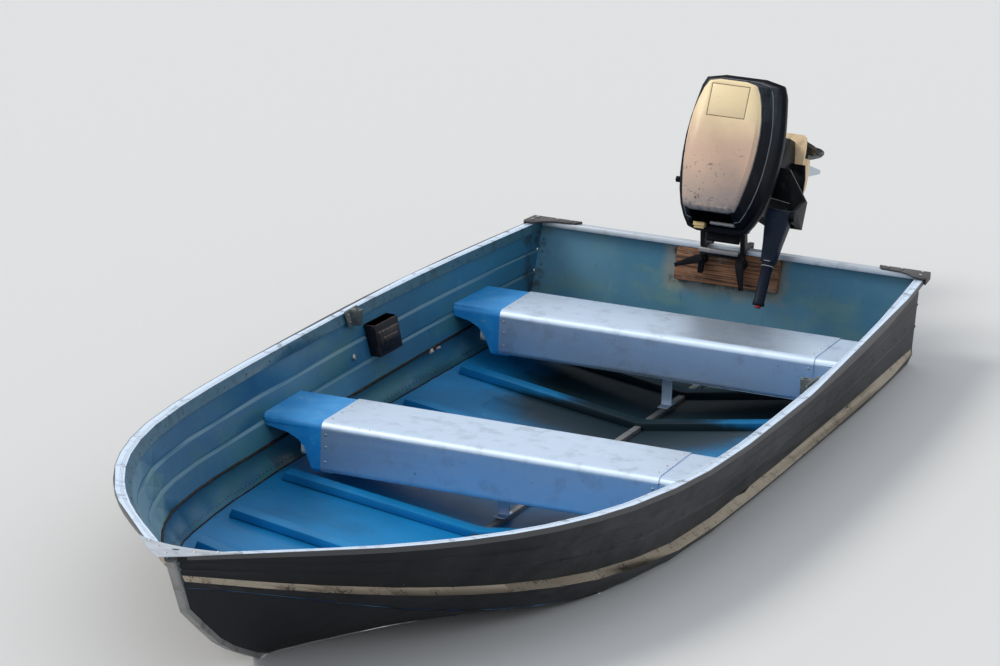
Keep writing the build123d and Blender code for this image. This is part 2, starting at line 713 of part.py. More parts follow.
plate_z = -463.0            # top of the plate over the propeller
plate_thick = 6.0
yoke_low = -264.0
yoke_half = 25.0
splash_z = -436.0
# z, y_front, y_rear, half
leg_sections = [(head_low - seat_gap, 150.0, 292.0, 52.0), (-240.0, 156.0, 272.0, 54.0),
                (-312.0, 164.0, 258.0, 50.0), (-322.0, 172.0, 270.0, 34.0), (-404.0, 190.0, 370.0, 25.0),
                (plate_z + seat_gap, 198.0, 374.0, 20.0)]
with BuildPart() as leg:
    loft(sections=[lens(*values) for values in leg_sections], ruled=True)
    with BuildSketch(Plane.XY.offset(yoke_low)):
        with Locations((0, (steer_y - 16 + 190) / 2)):
            Rectangle(2 * yoke_half, 190 - steer_y + 16)
    extrude(amount=barrel_low - 2 * seat_gap - 0.4 - yoke_low)
    with BuildSketch(Plane.XY.offset(splash_z)):
        with BuildLine():
            half_plate = [(24, 98), (58, 112), (69, 160), (72, 206), (70, 256), (62, 296)]
            Polyline(*(half_plate + [(-x, y) for x, y in reversed(half_plate)]), close=True)
        make_face()
    extrude(amount=plate_thick)
save(leg, "leg_housing", tilted)


def spindle(rows):
    """Round body along the propeller shaft through (length position, radius) rows."""
    faces = []
    for y, radius in rows:
        with BuildSketch(Plane(origin=(0, y, shaft_z), x_dir=(1, 0, 0), z_dir=(0, 1, 0))) as section:
            RegularPolygon(radius, 20)
        faces.append(section.sketch.face())
    return faces


# Gearcase with the plate over the propeller and the skeg
shaft_z = -575.0
torpedo_r = 30.0
torpedo_nose = 205.0
torpedo_aft = 342.0
shaft_r = 8.0
shaft_in = 20.0             # how far the propeller shaft runs into the gearcase
with BuildPart() as gearcase:
    with BuildSketch(Plane.XY.offset(plate_z - plate_thick)):
        with BuildLine():
            half_plate = [(20, 176), (40, 230), (44, 300), (44, 352), (40, 386), (30, 393)]
            Polyline(*(half_plate + [(-x, y) for x, y in reversed(half_plate)]), close=True)
        make_face()
    extrude(amount=plate_thick)
    loft(sections=[lens(plate_z - plate_thick / 2, 200.0, torpedo_aft + 2, 20.0),
                   lens(shaft_z, 214.0, torpedo_aft - 6, 17.0)], ruled=True)
    loft(sections=spindle([(torpedo_nose, 4.0), (torpedo_nose + 11, 0.60 * torpedo_r),
                           (torpedo_nose + 31, 0.88 * torpedo_r), (torpedo_nose + 57, torpedo_r),
                           (torpedo_aft - 42, torpedo_r), (torpedo_aft, 0.86 * torpedo_r)]), ruled=True)
    with BuildSketch(Plane.YZ.offset(-4)):
        with BuildLine():
            Polyline((torpedo_aft - 80, shaft_z - 10), (torpedo_aft - 5, shaft_z - 10),
                     (torpedo_aft - 4, shaft_z - 50), (torpedo_aft + 11, shaft_z - 186),
                     (torpedo_aft, shaft_z - 190), (torpedo_aft - 36, shaft_z - 76), close=True)
        make_face()
    extrude(amount=8)
    with BuildSketch(Plane(origin=(0, torpedo_aft + 1, shaft_z), x_dir=(1, 0, 0), z_dir=(0, -1, 0))):
        Circle(shaft_r + running_gap)
    extrude(amount=shaft_in + 2, mode=Mode.SUBTRACT)
save(gearcase, "gearcase", tilted)


def facetted(rings):
    """Solid with flat three-cornered faces through rings of corner points."""
    faces = []
    for low, high in zip(rings, rings[1:]):
        for i in range(len(low)):
            j = (i + 1) % len(low)
            faces.append(Face(Wire.make_polygon([low[i], low[j], high[j]])))
            faces.append(Face(Wire.make_polygon([low[i], high[j], high[i]])))
    for ring in (rings[0], rings[-1]):
        for i in range(1, len(ring) - 1):
            faces.append(Face(Wire.make_polygon([ring[0], ring[i], ring[i + 1]])))
    return Solid(Shell(faces))


# Propeller: hub on its shaft, with three twisted blades
hub_front = torpedo_aft + 1.0
hub_r = 22.0
hub_long = 60.0
prop_y = hub_front + 28.0
prop_r = 86.0
# radius, chord, pitch, thickness
blade_cuts = [(12.0, 34.0, 52.0, 6.0), (30.0, 52.0, 42.0, 5.5), (50.0, 62.0, 34.0, 4.5), (68.0, 58.0, 29.0, 3.5),
              (80.0, 40.0, 26.0, 2.8), (prop_r, 18.0, 25.0, 2.0)]
first_blade = 40.0
with BuildPart() as propeller:
    loft(sections=spindle([(hub_front, hub_r), (prop_y + 18, 0.86 * hub_r), (hub_front + hub_long - 8, 0.5 * hub_r),
                           (hub_front + hub_long, 3.0)]), ruled=True)
    with BuildSketch(Plane(origin=(0, prop_y, shaft_z), x_dir=(1, 0, 0), z_dir=(0, -1, 0))):
        Circle(shaft_r)
    extrude(amount=prop_y - torpedo_aft + shaft_in - 1)
    for turn in (0, 120, 240):
        place = Location((0, prop_y, shaft_z), (0, first_blade + turn, 0))
        rings = []
        for radius, chord, pitch, thick in blade_cuts:
            along = Vector(-chord / 2, 0, 0).rotate(Axis.Z, -pitch)
            across = Vector(0, thick / 2, 0).rotate(Axis.Z, -pitch)
            ring = [along, along * 0.4 + across, along * -0.5 + across, -along, along * -0.5 - across,
                    along * 0.4 - across]
            rings.append([(Plane(place)).from_local_coords(corner + Vector(0, 0, radius)) for corner in ring])
        add(facetted(rings))
save(propeller, "propeller", tilted)

# Housing of the powerhead: pan, black cowl sides and the light cap. Half plan outline from front to rear,
# at the rim where pan and cowl meet and at the top
# rim_x, rim_y, top_x, top_y
plan_rows = [
    (62.0, -31.0, 58.0, 9.0),
    (88.0, -23.0, 76.0, 16.0),
    (106.0, 4.0, 84.0, 42.0),
    (122.0, 38.0, 91.0, 78.0),
    (134.0, 80.0, 97.0, 112.0),
    (142.0, 125.0, 102.0, 150.0),
    (147.0, 185.0, 105.0, 200.0),
    (148.0, 240.0, 105.0, 248.0),
    (144.0, 295.0, 101.0, 292.0),
    (137.0, 345.0, 93.0, 330.0),
    (129.0, 392.0, 83.0, 362.0),
    (118.0, 418.0, 70.0, 386.0),
    (62.0, 430.0, 40.0, 393.0),
]
plan_middle = 200.0
plan_half_long = 230.0
plan_half_wide = 148.0
cowl_wall = 3.5


def housing(levels, wall=0.0, low_lift=0.0, high_lift=0.0):
    """Solid through the plan outlines of (height, share of the way to the top, inset) rows."""
    faces = []
    for i, (z, share, inset) in enumerate(levels):
        lift = low_lift if i == 0 else (high_lift if i == len(levels) - 1 else 0.0)
        wide = 1 - (inset + wall) / plan_half_wide
        long = 1 - (inset + wall) / plan_half_long
        points = []
        for rim_x, rim_y, top_x, top_y in plan_rows:
            y = rim_y + share * (top_y - rim_y)
            points.append(((rim_x + share * (top_x - rim_x)) * wide, plan_middle + (y - plan_middle) * long))
        with BuildSketch(Plane.XY.offset(z + lift)) as section:
            with BuildLine():
                Polyline(*(points + [(-x, y) for x, y in reversed(points)]), close=True)
            make_face()
        faces.append(section.sketch.face())
    return loft(sections=faces, ruled=True, mode=Mode.PRIVATE)


rim_z = 50.0
cap_z = 160.0
top_z = 184.0
# z, share, inset
pan_levels = [(pan_low, 0.0, 16.0), (pan_low + 9, 0.0, 5.0), (rim_z, 0.0, 3.0)]
side_levels = [(rim_z + seat_gap, 0.0, 0.0), (66.0, 0.0, 0.0), (68.5, 0.04, 7.0), (108.0, 0.46, 3.5),
               (112.0, 0.50, 0.5), (116.0, 0.55, 3.5), (cap_z, 0.96, 2.5)]
cap_levels = [(cap_z + seat_gap, 0.97, 2.0), (171.0, 1.0, 0.0), (180.0, 1.0, 4.0), (top_z, 1.0, 11.0)]
with BuildPart() as pan:
    add(housing(pan_levels))
    add(housing(pan_levels, cowl_wall, cowl_wall, 5.0), mode=Mode.SUBTRACT)
save(pan, "engine_pan", tilted)

recess_low = 71.0
recess_low_half = 67.0
recess_high_half = 63.0
with BuildPart() as cowl:
    add(housing(side_levels))
    add(housing(side_levels, cowl_wall, -5.0, 5.0), mode=Mode.SUBTRACT)
    with BuildSketch(Plane.XZ.offset(80)):
        with BuildLine():
            Polyline((-recess_low_half, recess_low), (recess_low_half, recess_low), (recess_high_half, cap_z - 6),
                     (-recess_high_half, cap_z - 6), close=True)
        make_face()
    extrude(amount=-130, mode=Mode.SUBTRACT)
save(cowl, "cowl", tilted)

hatch_half = 58.0
hatch_long = 96.0
hatch_y = 329.0
groove = 2.5
with BuildPart() as cowl_cap:
    add(housing(cap_levels))
    add(housing(cap_levels, cowl_wall, -5.0, -cowl_wall), mode=Mode.SUBTRACT)
    with BuildSketch(Plane.XY.offset(top_z - 1.5)):
        with Locations((0, hatch_y)):
            Rectangle(2 * hatch_half, hatch_long)
            Rectangle(2 * (hatch_half - groove), hatch_long - 2 * groove, mode=Mode.SUBTRACT)
    extrude(amount=5, mode=Mode.SUBTRACT)
save(cowl_cap, "cowl_cap", tilted)

# Powerhead under the cowl, one plain block on the pan's floor
engine_tall = 122.0
with BuildPart() as engine:
    with Locations((0, 225, pan_low + cowl_wall + seat_gap + engine_tall / 2)):
        Box(150, 230, engine_tall)
save(engine, "engine_block", tilted)

# Latch on the sill of the cowl's front recess
latch_x = -46.0
latch_front = -30.0
with BuildPart() as latch:
    for wide, tall, low, deep, back in ((34.0, 20.0, recess_low + seat_gap, 12.0, 6.0),
                                        (30.0, 8.0, recess_low + seat_gap + 6, 8.0, 0.0)):
        with Locations((latch_x, latch_front + back + deep / 2, low + tall / 2)):
            Box(wide, deep, tall)
save(latch, "cowl_latch", tilted)

knob_y = 112.0
knob_z = 39.0
knob_seat = 137.6
with BuildPart() as knob:
    for start, length, radius in ((0, 9, 5), (9, 12, 9)):
        with BuildSketch(Plane.YZ.offset(-(knob_seat + start))):
            with Locations((knob_y, knob_z)):
                RegularPolygon(radius, 12)
        extrude(amount=-length)
save(knob, "choke_knob", tilted)

# Tiller: bracket from the steering head round under the arm, arm that folds up, grip and stop button
tiller_x = 170.0
tiller_y = 50.0
tiller_z = 36.0
tiller_toe = -2.0           # the arm's tip points slightly inward
hinge_r = 17.0
hinge_pin_r = 6.0
arm_half = 34.0
arm_low = -17.0             # underside of the arm, below its hinge
arm_tall = 34.0
arm_long = 143.0
grip_r = 16.0
grip_long = 126.0
ring_long = 10.0
ring_out = 1.5
ear_gap = 1.5
hinge_ear_t = 13.0
ear_in = tiller_x + arm_half + ear_gap
ear_out = ear_in + hinge_ear_t
tongue_in = 172.0
shelf_low = barrel_top + 1.0
shelf_t = 14.0
tiller_frame = Location((tiller_x, tiller_y, tiller_z), (0, 0, tiller_toe))
tiller_plane = Plane(tiller_frame)
tiller_axis = Plane(origin=tiller_plane.origin, x_dir=tiller_plane.y_dir, z_dir=tiller_plane.x_dir)
with BuildPart() as tiller_bracket:
    with BuildSketch(Plane.XY.offset(shelf_low)):
        with BuildLine():
            Polyline((head_half + seat_gap, 128), (90, 112), (tongue_in, 100), (tongue_in, tiller_y - hinge_r - 4),
                     (ear_out, tiller_y - hinge_r - 4), (ear_out, 112), (150, 200), (head_half + seat_gap, 200),
                     close=True)
        make_face()
    extrude(amount=shelf_t)
    with BuildSketch(Plane.YZ.offset(ear_in)):
        with BuildLine():
            Polyline((tiller_y - hinge_r - 4, shelf_low), (112, shelf_low), (112, shelf_low + shelf_t),
                     (tiller_y + hinge_r, tiller_z), (tiller_y, tiller_z + hinge_r - 3),
                     (tiller_y - hinge_r, tiller_z), close=True)
        make_face()
        with Locations((tiller_y, tiller_z)):
            RegularPolygon(hinge_r, 16)
    extrude(amount=hinge_ear_t)
    with BuildSketch(tiller_axis.offset(-arm_half - 3)):
        Circle(hinge_pin_r)
    extrude(amount=2 * arm_half + ear_gap + hinge_ear_t)
save(tiller_bracket, "tiller_bracket", tilted)

with BuildPart() as tiller_arm:
    with BuildSketch(tiller_axis.offset(-arm_half)):
        RegularPolygon(hinge_r - 1, 16)
    extrude(amount=2 * arm_half)
    with BuildSketch(tiller_plane.offset(arm_low)):
        with BuildLine():
            Polyline((-arm_half, 4), (arm_half, 4), (arm_half, -30), (25, -90), (19, -arm_long), (-19, -arm_long),
                     (-25, -90), (-arm_half, -30), close=True)
        make_face()
    extrude(amount=arm_tall)
    with BuildSketch(tiller_axis.offset(-2 * arm_half)):
        Circle(hinge_pin_r + seat_gap)
    extrude(amount=4 * arm_half, mode=Mode.SUBTRACT)
save(tiller_arm, "tiller_arm", tilted)

grip_plane = Plane(origin=tiller_plane.from_local_coords((0, -arm_long - seat_gap, arm_low + arm_tall / 2)),
                   x_dir=tiller_plane.x_dir, z_dir=-tiller_plane.y_dir)
with BuildPart() as grip:
    for start, length, radius in ((0, ring_long, grip_r + ring_out),
                                  (ring_long, grip_long - 2 * ring_long, grip_r),
                                  (grip_long - ring_long, ring_long, grip_r + ring_out)):
        with BuildSketch(grip_plane.offset(start)):
            RegularPolygon(radius, 24)
        extrude(amount=length)
save(grip, "tiller_grip", tilted)

with BuildPart() as stop_button:
    with BuildSketch(grip_plane.offset(grip_long + seat_gap)):
        RegularPolygon(9, 16)
    extrude(amount=8)
save(stop_button, "stop_button", tilted)
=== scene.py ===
import json
from math import radians

import bpy
from mathutils import Matrix, Vector


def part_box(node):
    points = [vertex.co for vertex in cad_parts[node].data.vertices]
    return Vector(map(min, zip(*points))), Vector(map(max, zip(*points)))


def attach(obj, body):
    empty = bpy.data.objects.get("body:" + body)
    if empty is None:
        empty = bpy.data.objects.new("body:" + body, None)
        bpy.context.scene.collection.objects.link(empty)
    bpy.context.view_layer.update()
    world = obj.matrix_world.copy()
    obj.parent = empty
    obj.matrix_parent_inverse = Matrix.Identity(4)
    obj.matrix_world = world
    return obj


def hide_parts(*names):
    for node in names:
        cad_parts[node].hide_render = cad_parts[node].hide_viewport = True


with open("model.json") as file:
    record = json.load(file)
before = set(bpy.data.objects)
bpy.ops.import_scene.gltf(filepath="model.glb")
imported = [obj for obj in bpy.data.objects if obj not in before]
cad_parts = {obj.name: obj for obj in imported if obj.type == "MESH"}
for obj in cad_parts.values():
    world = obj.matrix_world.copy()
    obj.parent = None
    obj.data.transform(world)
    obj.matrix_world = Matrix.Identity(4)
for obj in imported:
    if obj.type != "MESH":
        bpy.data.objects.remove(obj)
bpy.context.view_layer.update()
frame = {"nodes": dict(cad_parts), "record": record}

nodes = frame["nodes"]
bodyOf = {node: body for body, names in frame["record"]["behaviour"]["bodies"].items() for node in names}
hands = (("port", 1), ("starboard", -1))
upward = (0.0, 0.0, 1.0)
scene = bpy.context.scene
scene.view_settings.view_transform = "Standard"
bpy.ops.object.select_all(action="DESELECT")
print("frame loaded")


# Camera at the photograph's viewing angle
camera = {
    "place": (4.3638, -10.5773, 3.7865),
    "right": (0.92082, 0.38813, 0.03806),
    "up": (-0.14236, 0.24368, 0.95935),
    "back": (0.36308, -0.88881, 0.27964),
    "lens": 169.06,
    "sensor": 36,
    "farthest": 200,
}


def addCamera():
    data = bpy.data.cameras.new("view")
    data.lens = camera["lens"]
    data.sensor_width = camera["sensor"]
    data.clip_end = camera["farthest"]
    eye = bpy.data.objects.new("view", data)
    scene.collection.objects.link(eye)
    turn = Matrix((camera["right"], camera["up"], camera["back"])).transposed()
    eye.matrix_world = Matrix.Translation(camera["place"]) @ turn.to_4x4()
    scene.camera = eye


addCamera()


# Shader sums written as Python expressions
class Wire:
    def __init__(self, tree, socket):
        self.tree = tree
        self.socket = socket

    def make(self, kind, settings=None, inputs=None, output=0):
        node = self.tree.nodes.new("ShaderNode" + kind)
        for key, value in (settings or {}).items():
            setattr(node, key, value)
        for key, value in (inputs or {}).items():
            socket = node.inputs[key]
            if isinstance(value, Wire):
                self.tree.links.new(value.socket, socket)
            elif socket.type == "RGBA" and len(value) == 3:
                socket.default_value = (*value, 1)
            else:
                socket.default_value = value
        return Wire(self.tree, node.outputs[output])

    def sum(self, operation, first, second=0.0):
        return self.make("Math", {"operation": operation}, {0: first, 1: second})

    def __add__(self, other):
        return self.sum("ADD", self, other)

    def __radd__(self, other):
        return self.sum("ADD", other, self)

    def __sub__(self, other):
        return self.sum("SUBTRACT", self, other)

    def __rsub__(self, other):
        return self.sum("SUBTRACT", other, self)

    def __mul__(self, other):
        return self.sum("MULTIPLY", self, other)

    def __rmul__(self, other):
        return self.sum("MULTIPLY", other, self)

    def __truediv__(self, other):
        return self.sum("DIVIDE", self, other)

    def __rtruediv__(self, other):
        return self.sum("DIVIDE", other, self)

    def __abs__(self):
        return self.sum("ABSOLUTE", self)


def ramp(wire, low, high, share=None):  # 0 below low, 1 above high, smooth between, then times the share
    mask = wire.make("MapRange", {"interpolation_type": "SMOOTHSTEP"},
                     {"Value": wire, "From Min": low, "From Max": high})
    return mask if share is None else mask * share


def mix(mask, first, second):  # first where the mask is 0, second where it is 1
    return mask.make("Mix", {"data_type": "RGBA"}, {0: mask, 6: first, 7: second}, output=2)


def mean(first, second):
    return first * 0.5 + second * 0.5


def waver(wire, amount):  # noise shifted to either side of zero
    return (wire - 0.5) * amount


def grain(place, scale, detail=4.0, rough=0.55):
    return place.make("TexNoise", None,
                      {"Vector": place, "Scale": scale, "Detail": detail, "Roughness": rough})


def streaks(place, scale, detail, rough):  # noise drawn out along an axis
    return grain(place.make("Mapping", None, {"Vector": place, "Scale": scale}), 1.0, detail, rough)


def height(place, axis="Z"):
    return place.make("SeparateXYZ", None, {"Vector": place}, output=axis)


def normalAlong(place, direction):
    normal = place.make("NewGeometry", None, None, output="True Normal")
    return normal.make("VectorMath", {"operation": "DOT_PRODUCT"}, {0: normal, 1: direction}, output="Value")


def band(wire, centre, half):  # 1 within half of the centre, 0 well outside it
    return 1 - ramp(abs(wire - centre), half * 0.6, half * 1.2)


def newFinish(name):
    material = bpy.data.materials.new(name)
    material.use_nodes = True
    tree = material.node_tree
    coords = tree.nodes.new("ShaderNodeTexCoord")
    return material, Wire(tree, coords.outputs["Object"])


def finish(material, place, colour, roughness, metallic=0.0, bump=None, strength=0.3, depth=0.001, coat=0.0):
    tree = material.node_tree
    shader = tree.nodes["Principled BSDF"]
    for name, value in (("Base Color", colour), ("Roughness", roughness), ("Metallic", metallic)):
        if isinstance(value, Wire):
            tree.links.new(value.socket, shader.inputs[name])
        elif name == "Base Color":
            shader.inputs[name].default_value = (*value, 1)
        else:
            shader.inputs[name].default_value = value
    shader.inputs["Coat Weight"].default_value = coat
    if bump is not None:
        raised = place.make("Bump", None, {"Height": bump, "Strength": strength, "Distance": depth})
        tree.links.new(raised.socket, shader.inputs["Normal"])
    return material


def setShine(material, amount):
    material.node_tree.nodes["Principled BSDF"].inputs["Specular IOR Level"].default_value = amount


# The motor's own upright frame, swung up to the tilt of the photograph
tiltJoint = frame["record"]["behaviour"]["joints"][0]
tiltAngle = radians(-tiltJoint["range_deg"][0])
motorFrame = Matrix.Translation(tiltJoint["pos_m"]) @ Matrix.Rotation(tiltAngle, 4, "X")


def inMotor(place):  # place read in the motor's own frame
    return place.make("Mapping", {"vector_type": "TEXTURE"},
                      {"Vector": place, "Location": tiltJoint["pos_m"], "Rotation": (tiltAngle, 0.0, 0.0)})


# Hull sheets: worn blue-green paint inside; outside, weathered aluminium darkened with painted shade, darker
# still toward the bow. In all these dictionaries a Grain holds a noise's scale, detail and roughness, and a
# Run a ramp's limits and its share
hullLook = {
    "side": {"paint": (0.034, 0.180, 0.315), "pale": (0.070, 0.245, 0.375), "deep": (0.022, 0.130, 0.250),
             "moss": (0.045, 0.170, 0.190)},
    "transom": {"paint": (0.115, 0.285, 0.405), "pale": (0.16, 0.33, 0.41), "deep": (0.062, 0.215, 0.34),
                "moss": (0.135, 0.285, 0.285)},
    "floor": {"paint": (0.005, 0.265, 0.63), "pale": (0.020, 0.29, 0.62), "deep": (0.003, 0.16, 0.38)},
    # outside metal: weathered aluminium, its dark colours partly painted shade
    "metal": (0.062, 0.064, 0.070),
    "metalDark": (0.022, 0.024, 0.028),
    "metalBow": (0.010, 0.012, 0.016),
    "scratch": (0.13, 0.13, 0.14),
    "bared": (0.34, 0.36, 0.38),
    "ledge": (0.42, 0.36, 0.28),
    "ledgeSpot": (0.10, 0.09, 0.075),
    "dirt": (0.035, 0.030, 0.018),
    "waterlineShade": (0.016, 0.018, 0.014),
    # floor stain colour, also used as painted shade between and under the benches
    "stainAndShade": (0.006, 0.020, 0.030),
    "crestHighlight": (0.24, 0.42, 0.50),
    "broadGrain": (1.7, 3), "patchGrain": (21.0, 6, 0.62), "speckGrain": (210.0, 3, 0.6),
    "scratchGrain": ((150.0, 5.0, 190.0), 4, 0.65), "dripGrain": ((60.0, 60.0, 5.0), 4, 0.6),
    "mossGrain": ((4.0, 2.2, 9.0), 3, 0.6), "turn": 0.02, "deepRun": (0.40, 0.62),
    "mossRun": (0.46, 0.64, 0.7), "paleRun": (0.50, 0.78, 0.35), "dripRun": (0.62, 0.78, 0.35),
    "crestHighlightRun": (0.42, 0.52, 0.55), "paleMarkRun": (0.70, 0.76), "rubPatchRun": (0.50, 0.62),
    "chipRun": (0.655, 0.68), "baredRun": (0.3, 0.9), "baredShare": 0.8, "gritRun": (0.60, 0.72, 0.35),
    "corner": {"side": 1.700, "transom": 0.540, "reach": 0.050, "waver": 0.10,
               "patchRun": (0.38, 0.62, 0.75)},
    "poolAndShade": {"waver": 0.5, "alongRun": (0.95, 1.35), "ripple": 0.02, "levelRun": (-0.075, -0.035)},
    "benchShade": {"waver": 0.3, "startRun": (-0.02, 0.16), "stopRun": (0.42, 0.60), "share": 0.18},
    "stainAndShadeRun": (0.0, 0.95), "metalRun": (0.40, 0.62), "scratchRun": (0.62, 0.76, 0.5),
    "streakRun": (0.56, 0.72, 0.6),
    "bow": {"waver": 0.5, "run": (-1.55, -0.10), "share": 0.95},
    "ledgeTilt": 0.25,
    "ledgeSpotRun": (0.54, 0.62),
    "nearWaterShade": {"waver": 0.03, "run": (0.002, 0.030), "share": 0.85},
    "bareMetallic": 0.3, "scrapedMetallic": 0.7, "bump": (0.16, 0.0006), "shine": 0.3,
}

# Pale worn rim and dark grime around the motor pad on the transom's inside
padRim = {
    "halfWide": 0.170,
    "middle": 0.188,
    "halfTall": 0.060,
    "waver": 0.07,
    "reach": 0.035,
    "pale": (0.36, 0.33, 0.25),
    "paleShare": 0.55,
    "dark": (0.03, 0.026, 0.02),
    "darkRun": (-0.010, 0.012), "patchRun": (0.46, 0.58, 0.85),
}


def padMarks(place, paint, patches):
    beside = abs(height(place, "X")) - padRim["halfWide"]
    below = abs(height(place) - padRim["middle"]) - padRim["halfTall"]
    away = beside.sum("MAXIMUM", beside, below) + waver(patches, padRim["waver"])
    paint = mix((1 - ramp(away, 0.0, padRim["reach"])) * padRim["paleShare"], paint, padRim["pale"])
    grime = (1 - ramp(away, *padRim["darkRun"])) * ramp(patches, *padRim["patchRun"])
    return mix(grime, paint, padRim["dark"])


def floorStainAndShade(place, paint, broad, patches):  # dark pool aft, partly wet dirt and partly painted shade between the benches, and painted shade under the bench
    poolAndShade, bench = hullLook["poolAndShade"], hullLook["benchShade"]
    along = height(place, "Y")
    pooledAndShade = (ramp(along + broad * poolAndShade["waver"], *poolAndShade["alongRun"])
              * (1 - ramp(height(place) + patches * poolAndShade["ripple"], *poolAndShade["levelRun"])))
    shifted = along + broad * bench["waver"]
    shadeUnderBench = ramp(shifted, *bench["startRun"]) * (1 - ramp(shifted, *bench["stopRun"]))
    return mix(ramp(pooledAndShade + shadeUnderBench * bench["share"], *hullLook["stainAndShadeRun"]), paint, hullLook["stainAndShade"])


def hullFinish(name, paints, outward, ledge=False, beads=False, stainAndShade=False, pad=False, facing=0.0):
    material, place = newFinish(name)
    look = hullLook
    tones = look[paints]
    broad = grain(place, *look["broadGrain"])
    patches = grain(place, *look["patchGrain"])
    specks = grain(place, *look["speckGrain"])
    scratches = streaks(place, *look["scratchGrain"])
    drips = streaks(place, *look["dripGrain"])
    outside = ramp(normalAlong(place, outward), facing - look["turn"], facing + look["turn"])

    paint = mix(ramp(broad, *look["deepRun"]), tones["deep"], tones["paint"])
    if "moss" in tones:
        paint = mix(ramp(streaks(place, *look["mossGrain"]), *look["mossRun"]), paint, tones["moss"])
    paint = mix(ramp(patches, *look["paleRun"]), paint, tones["pale"])
    paint = mix(ramp(drips, *look["dripRun"]), paint, look["dirt"])
    if beads:
        # painted highlight: bead facets that face upward turn pale, partly worn paint on the ridges
        paint = mix(ramp(normalAlong(place, upward), *look["crestHighlightRun"]), paint, look["crestHighlight"])
    paleMarks = ramp(scratches, *look["paleMarkRun"]) * ramp(patches, *look["rubPatchRun"])
    chips = ramp(mean(specks, patches), *look["chipRun"])
    bared = ramp(paleMarks * 0.7 + chips, *look["baredRun"])
    paint = mix(bared * look["baredShare"], paint, look["bared"])
    paint = mix(ramp(patches * 0.6 + drips * 0.4, *look["gritRun"]), paint, look["dirt"])
    if beads or pad:
        corner = look["corner"]
        along = abs(height(place, "X")) if pad else height(place, "Y")
        edge = corner["transom" if pad else "side"]
        toCorner = ramp(along + waver(patches, corner["waver"]), edge, edge + corner["reach"])
        # darker patches toward the corners where the sides meet the transom
        paint = mix(toCorner * ramp(patches, *corner["patchRun"]), paint, look["dirt"])
    if pad:
        paint = padMarks(place, paint, patches)
    if stainAndShade:
        paint = floorStainAndShade(place, paint, broad, patches)

    bow, nearWaterLook = look["bow"], look["nearWaterShade"]
    bare = mix(ramp(mean(patches, broad), *look["metalRun"]), look["metalDark"], look["metal"])
    bare = mix(ramp(scratches, *look["scratchRun"]), bare, look["scratch"])
    bare = mix(ramp(drips, *look["streakRun"]), bare, look["metalDark"])
    toBow = 1 - ramp(height(place, "Y") + waver(broad, bow["waver"]), *bow["run"])
    bare = mix(toBow * bow["share"], bare, look["metalBow"])
    # painted light: the ledge's upward face pale tan, partly its own colour and partly painted light from
    # the sky
    if ledge:
        skyward = (outward[0] * look["ledgeTilt"], 0.0, 1.0)
        upwardLit = ramp(normalAlong(place, skyward), -look["turn"], look["turn"])
        spotted = mix(ramp(mean(specks, patches), *look["ledgeSpotRun"]), look["ledge"], look["ledgeSpot"])
        bare = mix(upwardLit, bare, spotted)
    # painted shade: the band below the ledge, down to the waterline, darkened
    nearWaterShade = 1 - ramp(height(place) + waver(patches, nearWaterLook["waver"]), *nearWaterLook["run"])
    bare = mix(nearWaterShade * nearWaterLook["share"], bare, look["waterlineShade"])

    rough = 0.40 + patches * 0.2 + outside * 0.08
    metallic = outside * (1 - nearWaterShade) * look["bareMetallic"] + (1 - outside) * bared * look["scrapedMetallic"]
    relief = patches + specks * 0.3
    setShine(material, look["shine"])
    return finish(material, place, mix(outside, paint, bare), rough, metallic, relief, *look["bump"])


# Gunwale: bare grooved top, painted inner leg, outer lip and outer edge of the top painted dark as shade
# under the overhang. Its runs across are kept as an attribute
gunwaleLook = {
    # bright and dull are bluish-white: painted reflection of the sky on the bare top
    "bright": (0.72, 0.85, 1.0),
    "dull": (0.30, 0.35, 0.42),
    "groove": (0.09, 0.10, 0.11),
    "lip": (0.05, 0.05, 0.055),
    "paint": (0.050, 0.155, 0.225),
    "paintDeep": (0.022, 0.080, 0.125),
    "grooves": (0.0165, 0.0205, 0.0240),
    "grooveRun": (0.0007 * 0.4, 0.0007), "grooveShare": 0.75,
    "brushGrain": ((260.0, 7.0, 200.0), 5, 0.7), "patchGrain": (26.0, 6, 0.62),
    "speckGrain": (300.0, 2), "topRun": (0.55, 0.8), "outsideRun": (0.0, 0.05), "dullRun": (0.52, 0.72),
    "brushRun": (0.60, 0.76, 0.7), "lipWaver": 0.003, "lipRun": (0.0006, 0.0030),
    "speckRun": (0.62, 0.68, 0.8), "deepRun": (0.45, 0.70), "chipRun": (0.62, 0.66),
    "roughRun": (0.4, 0.8, 0.1), "bump": (0.2, 0.0005),
}


